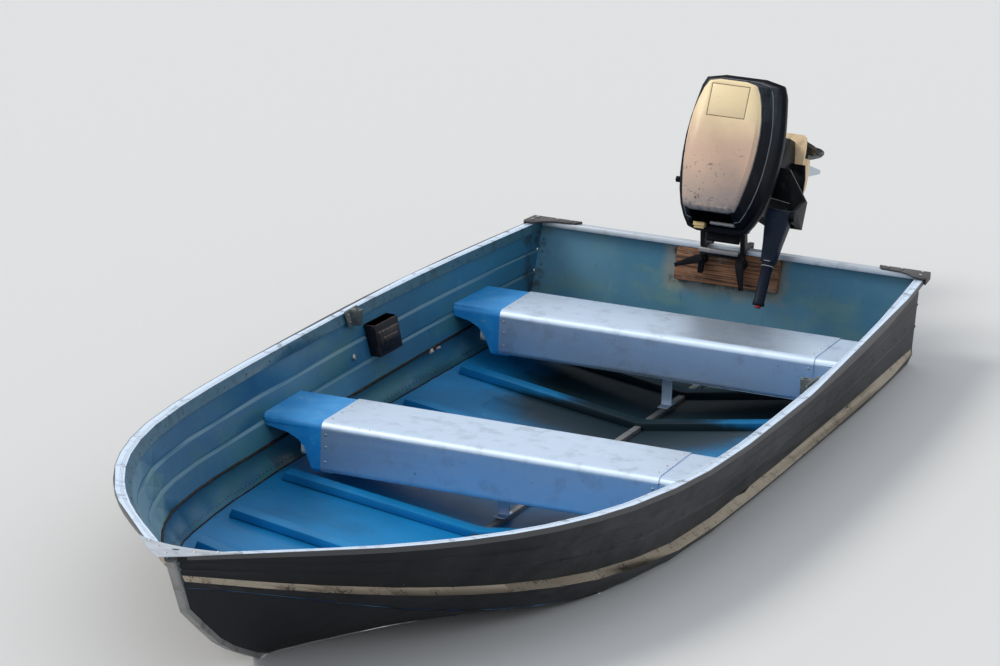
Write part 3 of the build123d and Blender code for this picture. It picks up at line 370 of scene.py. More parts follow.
def gunwaleFinish(name, outward):
    material, place = newFinish(name)
    look = gunwaleLook
    across = place.make("Attribute", {"attribute_name": "across"}, None, output="Fac")
    brushed = streaks(place, *look["brushGrain"])
    patches = grain(place, *look["patchGrain"])
    specks = grain(place, *look["speckGrain"])
    top = ramp(normalAlong(place, upward), *look["topRun"])
    outside = ramp(normalAlong(place, outward), *look["outsideRun"])
    colour = mix(ramp(patches, *look["dullRun"]), look["bright"], look["dull"])
    colour = mix(ramp(brushed, *look["brushRun"]), colour, look["dull"])
    cut = None
    for centre in look["grooves"]:
        line = 1 - ramp(abs(across - centre), *look["grooveRun"])
        cut = line if cut is None else cut + line
    colour = mix(cut * look["grooveShare"], colour, look["groove"])
    # painted shade: the outer edge of the top darkened where it rounds over the lip
    colour = mix(1 - ramp(across + waver(patches, look["lipWaver"]), *look["lipRun"]), colour, look["lip"])
    colour = mix(ramp(specks * 0.6 + patches * 0.4, *look["speckRun"]), colour, look["groove"])
    painted = mix(ramp(patches, *look["deepRun"]), look["paint"], look["paintDeep"])
    painted = mix(ramp(mean(specks, patches), *look["chipRun"]), painted, look["dull"])
    # bare metal on top; on the sides, the painted inner leg and painted shade on the outward lip
    colour = mix(top, mix(outside, painted, look["lip"]), colour)
    rough = 0.36 + patches * 0.16 + ramp(brushed, *look["roughRun"])
    return finish(material, place, colour, rough, top * 0.85, brushed * 0.5 - cut, *look["bump"])


# Bare aluminium with a brushed grain along one direction: the grain's scale, colour, dull colour, roughness
metalLook = {
    "trim": ((9.0, 240.0, 200.0), (0.52, 0.57, 0.63), (0.28, 0.30, 0.33), 0.36),
    # the bench colours are tinted blue: painted reflection of the sky, which the bare port bench ends share
    "bench": ((5.0, 210.0, 210.0), (0.60, 0.72, 0.87), (0.40, 0.47, 0.58), 0.30),
    "keel": ((160.0, 5.0, 160.0), (0.30, 0.30, 0.30), (0.10, 0.10, 0.10), 0.48),
}
metalWear = {
    "score": (0.12, 0.13, 0.15),
    "speck": (0.06, 0.055, 0.05),
    "brushGrain": (5, 0.7), "patchGrain": (17.0, 6, 0.62), "speckGrain": (260.0, 2),
    "scoreGrain": ((38.0, 7.0, 38.0), 3, 0.5), "dullRun": (0.48, 0.72, 0.6),
    "brushRun": (0.58, 0.78, 0.6), "scoreRun": (0.735, 0.755, 0.55), "speckRun": (0.66, 0.70, 0.8),
    "roughRun": (0.4, 0.8, 0.1), "cutRun": (0.73, 0.76, 0.4),
    "metallic": 0.85,
    "bump": (0.14, 0.0005),
}


def brushedMetal(place, name):  # colour, roughness and relief of a brushed sheet
    stretch, bright, dull, rough = metalLook[name]
    wear = metalWear
    brushed = streaks(place, stretch, *wear["brushGrain"])
    patches = grain(place, *wear["patchGrain"])
    specks = grain(place, *wear["speckGrain"])
    scores = streaks(place, *wear["scoreGrain"])
    colour = mix(ramp(patches, *wear["dullRun"]), bright, dull)
    colour = mix(ramp(brushed, *wear["brushRun"]), colour, dull)
    colour = mix(ramp(scores, *wear["scoreRun"]), colour, wear["score"])
    colour = mix(ramp(specks * 0.7 + patches * 0.3, *wear["speckRun"]), colour, wear["speck"])
    rough = rough + patches * 0.14 + ramp(brushed, *wear["roughRun"])
    return colour, rough, brushed * 0.6 + specks * 0.2 - ramp(scores, *wear["cutRun"])


def metalFinish(name):
    material, place = newFinish(name + "Metal")
    colour, rough, relief = brushedMetal(place, name)
    return finish(material, place, colour, rough, metalWear["metallic"], relief, *metalWear["bump"])


# Bench ends: light blue paint to starboard, bare to port
benchEndLook = {
    "paint": (0.010, 0.28, 0.72),
    "pale": (0.030, 0.35, 0.78),
    "worn": (0.5, 0.54, 0.58),
    "patchGrain": (15.0, 5, 0.6), "speckGrain": (170.0, 3), "paleRun": (0.42, 0.68),
    "wornRun": (0.62, 0.66), "bareRun": (0.40, 0.41), "bareMetallic": 0.85, "wornMetallic": 0.6,
    "bump": (0.15, 0.0006),
}


def benchEndFinish():
    look = benchEndLook
    material, place = newFinish("benchEndPaint")
    bright, rough, relief = brushedMetal(place, "bench")
    patches = grain(place, *look["patchGrain"])
    specks = grain(place, *look["speckGrain"])
    colour = mix(ramp(patches, *look["paleRun"]), look["paint"], look["pale"])
    worn = ramp(mean(patches, specks), *look["wornRun"])
    colour = mix(worn, colour, look["worn"])
    toPort = ramp(height(place, "X"), *look["bareRun"])
    colour = mix(toPort, colour, bright)
    metallic = toPort * look["bareMetallic"] + (1 - toPort) * worn * look["wornMetallic"]
    return finish(material, place, colour, rough + 0.08, metallic, relief, *look["bump"])


# Plain finishes: colour, second colour of its patches, their scale, roughness, metallic, bump
plainLook = {
    "casting": ((0.068, 0.064, 0.068), (0.155, 0.152, 0.168), 60.0, 0.6, 0.35, 0.7),
    "rowlockMetal": ((0.10, 0.115, 0.115), (0.25, 0.26, 0.24), 70.0, 0.55, 0.5, 0.5),
    "foamBlock": ((0.66, 0.68, 0.66), (0.20, 0.21, 0.20), 120.0, 0.9, 0.0, 0.9),
    "motorBlack": ((0.007, 0.014, 0.029), (0.014, 0.024, 0.045), 22.0, 0.32, 0.0, 0.06),
    "motorSatin": ((0.005, 0.006, 0.008), (0.020, 0.020, 0.022), 45.0, 0.45, 0.0, 0.25),
    # dark sealant, also the dark bead of painted shade along the chine
    "sealantAndShade": ((0.016, 0.012, 0.010), (0.085, 0.045, 0.028), 30.0, 0.7, 0.0, 0.5),
    "greyBar": ((0.34, 0.33, 0.33), (0.50, 0.48, 0.47), 70.0, 0.5, 0.5, 0.4),
    "boltSteel": ((0.42, 0.42, 0.42), (0.20, 0.18, 0.16), 90.0, 0.35, 0.9, 0.2),
    "darkRivet": ((0.020, 0.028, 0.034), (0.07, 0.08, 0.085), 120.0, 0.5, 0.3, 0.2),
    "paintRivet": ((0.030, 0.10, 0.15), (0.22, 0.25, 0.27), 150.0, 0.45, 0.3, 0.2),
    "blockMetal": ((0.16, 0.16, 0.17), (0.28, 0.28, 0.28), 30.0, 0.5, 0.8, 0.3),
    "gripRubber": ((0.007, 0.012, 0.025), (0.018, 0.026, 0.042), 120.0, 0.5, 0.0, 0.25),
    "redPlastic": ((0.50, 0.012, 0.012), (0.30, 0.01, 0.01), 60.0, 0.4, 0.0, 0.1),
    "latchGold": ((0.80, 0.58, 0.26), (0.50, 0.33, 0.15), 80.0, 0.38, 0.3, 0.1),
    "bladeMetal": ((0.030, 0.032, 0.036), (0.20, 0.21, 0.22), 55.0, 0.35, 0.5, 0.3),
}
plainWear = {
    "patchGrain": (5, 0.6), "finer": 9, "patchRun": (0.5, 0.75), "roughWaver": 0.25, "depth": 0.0007,
    "blackBelow": 0.03, "blackShine": 0.12,
}


def plainFinish(name):
    first, second, scale, rough, metallic, bump = plainLook[name]
    wear = plainWear
    material, place = newFinish(name)
    patches = grain(place, scale, *wear["patchGrain"])
    fine = grain(place, scale * wear["finer"], 2)
    colour = mix(ramp(patches, *wear["patchRun"]), first, second)
    rough = rough + waver(patches, wear["roughWaver"])
    if max(first) < wear["blackBelow"]:
        setShine(material, wear["blackShine"])
    return finish(material, place, colour, rough, metallic, patches + fine * 0.4, bump, wear["depth"])


# Black box on the side, its upper rim brown and dusty
boxLook = {
    "colour": (0.005, 0.006, 0.010),
    "second": (0.026, 0.024, 0.026),
    "rim": (0.12, 0.065, 0.050),
    "dust": (0.42, 0.36, 0.34),
    "patchGrain": (60.0, 5, 0.6), "speckGrain": (300.0, 2), "secondRun": (0.5, 0.75),
    "rimRun": (0.75, 0.85), "rimPatchRun": (0.34, 0.50), "dustRun": (0.56, 0.62), "shine": 0.25,
    "bump": (0.2, 0.0006),
    "steps": ((0.008, 0.0), (0.0025, 0.005), (0.016, 0.0), (0.002, 0.003)),
    "faceArea": 0.004,
    "faceTurn": 0.7,
}


def boxFinish():
    look = boxLook
    material, place = newFinish("boxBlack")
    patches = grain(place, *look["patchGrain"])
    specks = grain(place, *look["speckGrain"])
    colour = mix(ramp(patches, *look["secondRun"]), look["colour"], look["second"])
    rim = ramp(normalAlong(place, upward), *look["rimRun"]) * ramp(patches, *look["rimPatchRun"])
    colour = mix(rim, colour, look["rim"])
    colour = mix(rim * ramp(specks, *look["dustRun"]), colour, look["dust"])
    setShine(material, look["shine"])
    return finish(material, place, colour, 0.40 + patches * 0.2, 0.0, patches, *look["bump"])


# Plywood motor pads: weathered, cracked along the grain
plyLook = {
    "pale": (0.36, 0.17, 0.085),
    "dark": (0.045, 0.020, 0.013),
    "grey": (0.30, 0.24, 0.20),
    "crack": (0.012, 0.006, 0.004),
    "lineGrain": ((5.0, 60.0, 330.0), 6, 0.7), "crackGrain": ((9.0, 60.0, 210.0), 3, 0.5),
    "patchGrain": (22.0, 4), "lineRun": (0.36, 0.62), "greyRun": (0.56, 0.74, 0.6),
    "crackRun": (0.64, 0.68), "cutRun": (0.62, 0.68), "rough": 0.78, "bump": (0.8, 0.002),
}


def plyFinish():
    look = plyLook
    material, place = newFinish("wornPly")
    lines = streaks(place, *look["lineGrain"])
    cracks = streaks(place, *look["crackGrain"])
    patches = grain(place, *look["patchGrain"])
    colour = mix(ramp(lines, *look["lineRun"]), look["dark"], look["pale"])
    colour = mix(ramp(patches, *look["greyRun"]), colour, look["grey"])
    colour = mix(ramp(cracks, *look["crackRun"]), colour, look["crack"])
    relief = lines - ramp(cracks, *look["cutRun"])
    return finish(material, place, colour, look["rough"], 0.0, relief, *look["bump"])


# Pale motor paint: bright and warm at the rear, greyer toward the chin, both painted light and shade;
# scuffed toward the chin, with a dark hatch line
capLook = {
    "top": (1.0, 0.80, 0.48),
    "middle": (0.70, 0.475, 0.35),
    "low": (0.38, 0.30, 0.265),
    "mark": (0.05, 0.045, 0.05),
    "chin": (0.10, 0.13, 0.16),
    "line": (0.12, 0.075, 0.05),
    "from": 0.02, "to": 0.40, "riseWaver": 0.3,
    "hatch": {"y": 0.329, "halfWide": 0.05675, "halfLong": 0.04675, "line": 0.0013, "share": 0.85},
    "broadGrain": (9.0, 3), "patchGrain": (48.0, 6, 0.65), "scuffGrain": ((24.0, 170.0, 60.0), 3, 0.5),
    "dentGrain": (85.0, 2), "middleRun": (0.0, 0.42), "topRun": (0.42, 0.85), "lowerRun": (0.30, 0.62),
    "starboard": {"waver": 0.06, "run": (-0.030, 0.030), "least": 0.55, "more": 0.45},
    "markRun": (0.56, 0.70, 0.85), "scuffRun": (0.685, 0.71),
    "scuffs": {"least": 0.35, "lower": 0.6},
    "dentRun": (0.66, 0.70), "dentShare": 0.7, "wornRun": (0.05, 1.0), "chinWaver": 0.05,
    "chinRun": (0.012, 0.045), "chinPatchRun": (0.45, 0.60), "chinShare": 0.8, "bump": (0.08, 0.0005),
    "coat": 0.1,
}


def capFinish():
    look = capLook
    hatch, starboard, scuffed = look["hatch"], look["starboard"], look["scuffs"]
    material, place = newFinish("capPaint")
    local = inMotor(place)
    across, along = height(local, "X"), height(local, "Y")
    broad = grain(place, *look["broadGrain"])
    patches = grain(place, *look["patchGrain"])
    scuffs = streaks(local, *look["scuffGrain"])
    rise = (along - look["from"]) / (look["to"] - look["from"]) + waver(broad, look["riseWaver"])
    # painted light and shade: brighter and warmer toward the rear top, greyer lower down
    colour = mix(ramp(rise, *look["middleRun"]), look["low"], look["middle"])
    colour = mix(ramp(rise, *look["topRun"]), colour, look["top"])
    lower = 1 - ramp(rise, *look["lowerRun"])
    toStarboard = 1 - ramp(across + waver(broad, starboard["waver"]), *starboard["run"])
    toStarboard = starboard["least"] + starboard["more"] * toStarboard
    marks = ramp(patches, *look["markRun"]) * lower * toStarboard
    marks = marks + ramp(scuffs, *look["scuffRun"]) * (scuffed["least"] + scuffed["lower"] * lower)
    dents = ramp(grain(place, *look["dentGrain"]), *look["dentRun"]) * lower * toStarboard
    colour = mix(ramp(marks + dents * look["dentShare"], *look["wornRun"]), colour, look["mark"])
    chin = (1 - ramp(along + waver(patches, look["chinWaver"]), *look["chinRun"]))
    chin = chin * ramp(patches, *look["chinPatchRun"])
    colour = mix(chin * look["chinShare"], colour, look["chin"])
    inWide = abs(across) - hatch["halfWide"]
    inLong = abs(along - hatch["y"]) - hatch["halfLong"]
    line = band(inWide.sum("MAXIMUM", inWide, inLong), 0.0, hatch["line"])
    colour = mix(line * hatch["share"], colour, look["line"])
    rough = 0.38 + patches * 0.2
    return finish(material, place, colour, rough, 0.0, patches - line, *look["bump"], coat=look["coat"])


# Beige casing of the gears, with a bare metal skeg and torpedo
legLook = {
    "paint": (0.90, 0.68, 0.42),
    "second": (0.66, 0.48, 0.31),
    "mark": (0.05, 0.045, 0.04),
    "skeg": (0.52, 0.58, 0.63),
    "skegWaver": 0.02, "skegRun": (-0.604, -0.596), "patchGrain": (34.0, 6, 0.62),
    "fineGrain": (150.0, 3), "secondRun": (0.46, 0.70), "markRun": (0.60, 0.66, 0.8),
    "bump": (0.12, 0.0005),
}


def legFinish():
    look = legLook
    material, place = newFinish("legPaint")
    local = inMotor(place)
    patches = grain(place, *look["patchGrain"])
    fine = grain(place, *look["fineGrain"])
    colour = mix(ramp(patches, *look["secondRun"]), look["paint"], look["second"])
    colour = mix(ramp(mean(fine, patches), *look["markRun"]), colour, look["mark"])
    bare = 1 - ramp(height(local) + waver(patches, look["skegWaver"]), *look["skegRun"])
    colour = mix(bare, colour, look["skeg"])
    return finish(material, place, colour, 0.38 + patches * 0.15, bare * 0.8, patches, *look["bump"])


# Black housing: painted sheen, a reflection, on the rear of its sides, pale painted highlight lines along
# rim, fold and top edge
cowlLook = {
    "black": (0.003, 0.004, 0.008),
    "second": (0.007, 0.009, 0.014),
    "sheen": (0.028, 0.040, 0.060),
    # colour and heights of the painted highlight lines
    "edge": (0.24, 0.26, 0.29),
    "edges": ((0.0485, 0.0012), (0.1125, 0.0014), (0.1585, 0.0012)),
    "patchGrain": (26.0, 5, 0.6), "streakGrain": ((60.0, 5.0, 90.0), 4, 0.6), "secondRun": (0.5, 0.75),
    "sheenAlongRun": (0.16, 0.36), "sheenTallRun": (0.072, 0.080), "sheenStreakRun": (0.35, 0.62, 0.75),
    "paleMarkRun": (0.36, 0.50, 0.8), "shine": 0.12, "bump": (0.05, 0.0005),
}


def cowlFinish():
    look = cowlLook
    material, place = newFinish("cowlBlack")
    local = inMotor(place)
    along, tall = height(local, "Y"), height(local)
    patches = grain(place, *look["patchGrain"])
    streaked = streaks(local, *look["streakGrain"])
    colour = mix(ramp(patches, *look["secondRun"]), look["black"], look["second"])
    # painted reflection on the rear of the sides
    rear = ramp(along, *look["sheenAlongRun"]) * ramp(tall, *look["sheenTallRun"])
    colour = mix(rear * ramp(streaked, *look["sheenStreakRun"]), colour, look["sheen"])
    # painted highlight lines along rim, fold and top edge
    paleMarks = None
    for level, half in look["edges"]:
        line = band(tall, level, half)
        paleMarks = line if paleMarks is None else paleMarks + line
    colour = mix(paleMarks * ramp(streaked, *look["paleMarkRun"]), colour, look["edge"])
    setShine(material, look["shine"])
    return finish(material, place, colour, 0.40 + patches * 0.15, 0.0, patches, *look["bump"])


finishes = {
    "floor_ribs": hullFinish("floorRibs", "floor", (0.0, 0.0, -1.0), stainAndShade=True, facing=0.1),
    "transom": hullFinish("transomSheet", "transom", (0.0, 1.0, 0.0), pad=True),
    "trim": metalFinish("trim"),
    "bench": metalFinish("bench"),
    "keel": metalFinish("keel"),
    "bench_end": benchEndFinish(),
    "ply": plyFinish(),
    "cap": capFinish(),
    "leg": legFinish(),
    "cowl": cowlFinish(),
    "box": boxFinish(),
}
finishes.update({name: plainFinish(name) for name in plainLook})
for side, hand in hands:
    word = side.capitalize()
    finishes["side_sheet_" + side] = hullFinish(
        "sideSheet" + word, "side", (hand * 0.8, -0.45, -0.3), beads=True)
    finishes["bilge_sheet_" + side] = hullFinish(
        "bilgeSheet" + word, "side", (hand * 0.8, -0.4, -0.35), ledge=True, facing=-0.5)
    finishes["bottom_sheet_" + side] = hullFinish(
        "bottomSheet" + word, "floor", (hand * 0.5, -0.35, -0.8), stainAndShade=True, facing=-0.5)
    finishes["gunwale_" + side] = gunwaleFinish("gunwale" + word, (hand * 0.8, -0.45, 0.0))
print("finishes made")

dressRows = {  # node, with * for each side: finish, bevel width in metres
    "side_sheet_*": ("side_sheet_*", 0.0),
    "bilge_sheet_*": ("bilge_sheet_*", 0.0),
    "bottom_sheet_*": ("bottom_sheet_*", 0.0),
    "fore_bottom_sheet_*": ("bottom_sheet_*", 0.0),
    "floor_ribs": ("floor_ribs", 0.0015),
    "transom": ("transom", 0.0),
    "gunwale_*": ("gunwale_*", 0.0),
    "transom_cap": ("trim", 0.0008),
    "bow_plate": ("trim", 0.001),
    "keel_and_stem": ("keel", 0.002),
    "forward_bench": ("bench", 0.0),
    "aft_bench": ("bench", 0.0),
    "forward_bench_ends": ("bench_end", 0.0),
    "aft_bench_ends": ("bench_end", 0.0),
    "bench_foam": ("foamBlock", 0.003),
    "bench_posts": ("bench", 0.0008),
    "corner_bracket_*": ("casting", 0.0015),
    "rowlock_socket_*": ("rowlockMetal", 0.0015),
    "motor_pad_inner": ("ply", 0.002),
    "motor_pad_outer": ("ply", 0.002),
    "side_box": ("box", 0.0015),
    "drain_plug": ("boltSteel", 0.001),
    "clamp_bracket": ("motorSatin", 0.0015),
    "tilt_pin": ("boltSteel", 0.0008),
    "clamp_screw_*": ("motorSatin", 0.0012),
    "swivel_bracket": ("motorSatin", 0.0015),
    "steering_head": ("motorSatin", 0.0015),
    "leg_housing": ("motorSatin", 0.0),
    "gearcase": ("leg", 0.0),
    "propeller": ("bladeMetal", 0.0),
    "engine_pan": ("cowl", 0.002),
    "cowl": ("cowl", 0.002),
    "cowl_cap": ("cap", 0.002),
    "engine_block": ("blockMetal", 0.003),
    "cowl_latch": ("latchGold", 0.001),
    "choke_knob": ("motorSatin", 0.0015),
    "tiller_bracket": ("motorSatin", 0.0015),
    "tiller_arm": ("motorBlack", 0.003),
    "tiller_grip": ("gripRubber", 0.001),
    "stop_button": ("redPlastic", 0.0015),
}
dressing = {node.replace("*", side): (name.replace("*", side), bevel)
            for node, (name, bevel) in dressRows.items()
            for side, hand in (hands if "*" in node else hands[:1])}

# Merge distance and the angles for flat faces, bevelled edges and smooth shading
edges = {
    "merge": 0.00001,
    "flat": radians(0.6),
    "bevelled": radians(40),
    "nodeSmooth": radians(32),
    "pieceSmooth": radians(40),
}


def onlyActive(piece):
    bpy.ops.object.select_all(action="DESELECT")
    piece.select_set(True)
    bpy.context.view_layer.objects.active = piece


def dressNode(name):  # a merged copy of the node, its edges eased and its curved faces smooth
    finishName, bevel = dressing[name]
    piece = bpy.data.objects.new(name + "Skin", nodes[name].data.copy())
    scene.collection.objects.link(piece)
    onlyActive(piece)
    bpy.ops.object.mode_set(mode="EDIT")
    bpy.ops.mesh.select_all(action="SELECT")
    bpy.ops.mesh.remove_doubles(threshold=edges["merge"])
    bpy.ops.mesh.dissolve_limited(angle_limit=edges["flat"])
    bpy.ops.object.mode_set(mode="OBJECT")
    if bevel:
        edge = piece.modifiers.new("edge", "BEVEL")
        edge.width = bevel
        edge.segments = 2
        edge.limit_method = "ANGLE"
        edge.angle_limit = edges["bevelled"]
        edge.use_clamp_overlap = True
        bpy.ops.object.modifier_apply(modifier="edge")
    bpy.ops.object.shade_smooth_by_angle(angle=edges["nodeSmooth"])
    piece.data.materials.clear()
    piece.data.materials.append(finishes[finishName])
    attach(piece, bodyOf[name])
    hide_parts(name)
    return piece


skins = {name: dressNode(name) for name in dressing}
print("nodes dressed", len(skins))


def addPiece(piece, finishName, body):  # finish and body of a piece that isn't in the CAD
    piece.data.materials.clear()
    piece.data.materials.append(finishes[finishName])
    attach(piece, body)


def boxCover():  # two raised steps on the side box's inner face
    piece = skins["side_box"]
    broad = [face for face in piece.data.polygons
             if face.normal.x > boxLook["faceTurn"] and face.area > boxLook["faceArea"]]
    front = max(broad, key=lambda face: face.center.x).index
    onlyActive(piece)
    bpy.ops.object.mode_set(mode="EDIT")
    bpy.ops.mesh.select_mode(type="FACE")
    bpy.ops.mesh.select_all(action="DESELECT")
    bpy.ops.object.mode_set(mode="OBJECT")
    piece.data.polygons[front].select = True
    bpy.ops.object.mode_set(mode="EDIT")
    for thickness, rise in boxLook["steps"]:
        bpy.ops.mesh.inset(thickness=thickness, depth=rise)
    bpy.ops.mesh.select_mode(type="VERT")
    bpy.ops.object.mode_set(mode="OBJECT")


boxCover()


# Sheer line: stations of a gunwale's flat top as (y, z, outer half breadth), bow to stern
sheerTop = {"leastWide": 0.015, "apart": 0.006}


def sheerStations(node):
    spots = {(round(v.co.y, 4), round(v.co.z, 4), round(abs(v.co.x), 4)) for v in nodes[node].data.vertices}
    wide = []
    for y in sorted({spot[0] for spot in spots}):
        level = max(z for place, z, x in spots if place == y)
        reach = [x for place, z, x in spots if place == y and z == level]
        if max(reach) - min(reach) > sheerTop["leastWide"]:
            wide.append((y, level, max(reach)))
    return [row for row in wide
            if not any(abs(row[0] - other[0]) < sheerTop["apart"] and other[1] > row[1] for other in wide)]


sheer = sheerStations("gunwale_port")


def atSheer(y, column):
    for low, high in zip(sheer, sheer[1:]):
        if y <= high[0]:
            share = (y - low[0]) / (high[0] - low[0])
            return low[column] + share * (high[column] - low[column])
    return sheer[-1][column]


def keepAcross(piece):  # distance in from the outer edge, which the grooves of the gunwale follow
    values = [atSheer(vertex.co.y, 2) - abs(vertex.co.x) for vertex in piece.data.vertices]
    piece.data.attributes.new("across", "FLOAT", "POINT").data.foreach_set("value", values)


for side, hand in hands:
    keepAcross(skins["gunwale_" + side])


# Fastenings: one model each, copied onto spots that rays find on the dressed hull
fastenings = {
    "transom": {"pitch": 0.036, "radius": 0.0034, "edge": 0.022, "ahead": 0.02, "run": (-0.02, 0.21)},
    "bench": {"radius": 0.0036, "edge": 0.014, "top": (0.16, 0.39, 0.62, 0.85), "front": (0.2, 0.5, 0.75),
              "off": 0.1},
    "corner": {"radius": 0.0048, "from": 0.5,
               "places": ((0.022, 0.052), (0.026, 0.020), (0.088, 0.018), (0.130, 0.016))},
    "bow": {"radius": 0.0045, "from": 0.6,
            "places": ((0.0, 0.125), (-0.045, 0.072), (0.045, 0.072), (-0.085, 0.034), (0.085, 0.034))},
    "socket": {"radius": 0.0042, "from": 0.4, "end": 0.011, "down": (0.012, 0.030)},
    "bosses": {"radius": 0.011, "sides": 14, "from": -0.3, "places": ((1.067, 0.040), (1.131, 0.034))},
    "sideBolt": {"radius": 0.009, "sides": 10, "from": -0.3, "place": (0.617, 0.131)},
}
rows = {  # along both sides, from inside or outside, below the sheer or up from the bilge sheet's edge
    "legRivets": {"node": "gunwale_", "from": 0, "toward": 1, "below": 0.017, "run": (-1.52, 1.70),
                  "pitch": 0.14, "radius": 0.0036, "finish": "paintRivet"},
    "seamRivets": {"node": "bilge_sheet_", "from": 0, "toward": 1, "up": 0.011, "run": (-1.25, 1.74),
                   "pitch": 0.024, "radius": 0.0026, "finish": "darkRivet"},
    "outerRivets": {"node": "side_sheet_", "from": 2, "toward": -1, "below": 0.125, "run": (-1.30, 1.76),
                    "pitch": 0.11, "radius": 0.0034, "finish": "darkRivet"},
}
beads = {  # dark beads on the sheets' seams: inside, a dark bead along the chine that is painted shade under the chine step; outside, dark sealant on the bottom seam
    "chineShadeBead": {"node": "side_sheet_", "from": 0, "toward": 1, "below": 0.10, "run": (-1.50, 1.75),
                  "pitch": 0.05, "radius": 0.0034, "inward": 0.0022, "drop": 0.002},
    "seamBead": {"node": "bilge_sheet_", "from": 2, "toward": -1, "up": 0.0, "run": (-1.72, 1.75),
                 "pitch": 0.04, "radius": 0.0019, "inward": -0.0012, "drop": 0.001},
}
seamSearch = {"below": 0.16, "drop": 0.004}
lowest = -0.1


def editShape(moves):  # runs edit-mode operators on the new primitive, all of it selected before each
    bpy.ops.object.mode_set(mode="EDIT")
    for operator, settings in moves:
        bpy.ops.mesh.select_all(action="SELECT")
        operator(**settings)
    bpy.ops.object.mode_set(mode="OBJECT")
    return bpy.context.view_layer.objects.active


def rivetDome(radius):
    bpy.ops.object.select_all(action="DESELECT")
    bpy.ops.mesh.primitive_uv_sphere_add(segments=8, ring_count=4, radius=radius)
    return editShape([
        (bpy.ops.mesh.bisect, {"plane_co": (0, 0, -0.2 * radius), "plane_no": (0, 0, 1),
                               "clear_inner": True, "use_fill": True}),
        (bpy.ops.transform.resize, {"value": (1, 1, 0.55), "center_override": (0, 0, 0)}),
    ])


def boltHead(radius, sides=6):
    bpy.ops.object.select_all(action="DESELECT")
    bpy.ops.mesh.primitive_cylinder_add(vertices=sides, radius=radius, depth=radius)
    return editShape([
        (bpy.ops.transform.translate, {"value": (0, 0, 0.3 * radius)}),
        (bpy.ops.mesh.bevel, {"offset": 0.14 * radius, "segments": 2, "affect": "EDGES"}),
    ])


def fasten(name, model, spots, finishName):  # spots that no ray met are None
    pieces = []
    for spot, normal in [found for found in spots if found]:
        mesh = model.data.copy()
        mesh.transform(Matrix.Translation(spot) @ normal.to_track_quat("Z", "Y").to_matrix().to_4x4())
        piece = bpy.data.objects.new(name, mesh)
        scene.collection.objects.link(piece)
        pieces.append(piece)
    bpy.data.objects.remove(model)
    onlyActive(pieces[0])
    if len(pieces) > 1:
        for piece in pieces:
            piece.select_set(True)
        bpy.ops.object.join()
    bpy.ops.object.shade_smooth_by_angle(angle=edges["pieceSmooth"])
    addPiece(pieces[0], finishName, "boat")


def strike(name, origin, direction):  # where a ray first meets a dressed node, or None
    hit, spot, normal = skins[name].ray_cast(Vector(origin), Vector(direction).normalized())[:3]
    return (spot.copy(), normal.copy()) if hit else None


def steps(start, stop, pitch):
    count = int((stop - start) / pitch)
    return [start + i * pitch for i in range(count + 1)]


def seamHeight(side, hand, y):  # lowest height at which the bilge sheet is met from inside
    z = atSheer(y, 1) - seamSearch["below"]
    met = None
    while z > lowest:
        if strike("bilge_sheet_" + side, (0, y, z), (hand, 0, 0)):
            met = z
        elif met is not None:
            break
        z -= seamSearch["drop"]
    return met


def startHeight(look, side, hand, y):
    if "below" in look:
        return atSheer(y, 1) - look["below"]
    seam = seamHeight(side, hand, y)
    return None if seam is None else seam + look["up"]


def strikeSide(look, side, hand, y, z):
    return strike(look["node"] + side, (hand * look["from"], y, z), (hand * look["toward"], 0, 0))


def rowRivets(name, look):
    spots = []
    for side, hand in hands:
        for y in steps(*look["run"], look["pitch"]):
            z = startHeight(look, side, hand, y)
            if z is not None:
                spots.append(strikeSide(look, side, hand, y, z))
    fasten(name, rivetDome(look["radius"]), spots, look["finish"])


def transomRivets():
    look = fastenings["transom"]
    spots = []
    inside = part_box("transom")[0][1] - look["ahead"]
    for side, hand in hands:
        for z in steps(*look["run"], look["pitch"]):
            ray = (0, inside, z), (hand, 0, 0)
            edge = strike("side_sheet_" + side, *ray) or strike("bilge_sheet_" + side, *ray)
            if edge:
                spots.append(strike("transom", (edge[0].x - hand * look["edge"], inside, z), (0, 1, 0)))
    fasten("transomRivets", rivetDome(look["radius"]), spots, "paintRivet")


def benchRivets():
    look = fastenings["bench"]
    spots = []
    for bench in ("forward_bench", "aft_bench"):
        low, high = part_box(bench)
        for side, hand in hands:
            x = hand * (high[0] - look["edge"])
            for share in look["top"]:
                y = low[1] + share * (high[1] - low[1])
                spots.append(strike(bench, (x, y, high[2] + look["off"]), (0, 0, -1)))
            for share in look["front"]:
                z = low[2] + share * (high[2] - low[2])
                spots.append(strike(bench, (x, low[1] - look["off"], z), (0, 1, 0)))
    fasten("benchRivets", rivetDome(look["radius"]), spots, "boltSteel")


def cornerBolts():
    look = fastenings["corner"]
    spots = []
    for side, hand in hands:
        node = "corner_bracket_" + side
        low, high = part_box(node)
        outer = max(abs(low[0]), abs(high[0]))
        for inward, ahead in look["places"]:
            spots.append(strike(node, (hand * (outer - inward), high[1] - ahead, look["from"]), (0, 0, -1)))
    fasten("cornerBolts", boltHead(look["radius"]), spots, "boltSteel")


def bowRivets():
    look = fastenings["bow"]
    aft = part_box("bow_plate")[1][1]
    spots = [strike("bow_plate", (x, aft - ahead, look["from"]), (0, 0, -1)) for x, ahead in look["places"]]
    fasten("bowRivets", rivetDome(look["radius"]), spots, "boltSteel")


def socketBolts():
    look = fastenings["socket"]
    spots = []
    for side, hand in hands:
        node = "rowlock_socket_" + side
        low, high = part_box(node)
        for y in (low[1] + look["end"], high[1] - look["end"]):
            for down in look["down"]:
                spots.append(strike(node, (hand * look["from"], y, high[2] - down), (hand, 0, 0)))
    fasten("socketBolts", boltHead(look["radius"]), spots, "boltSteel")


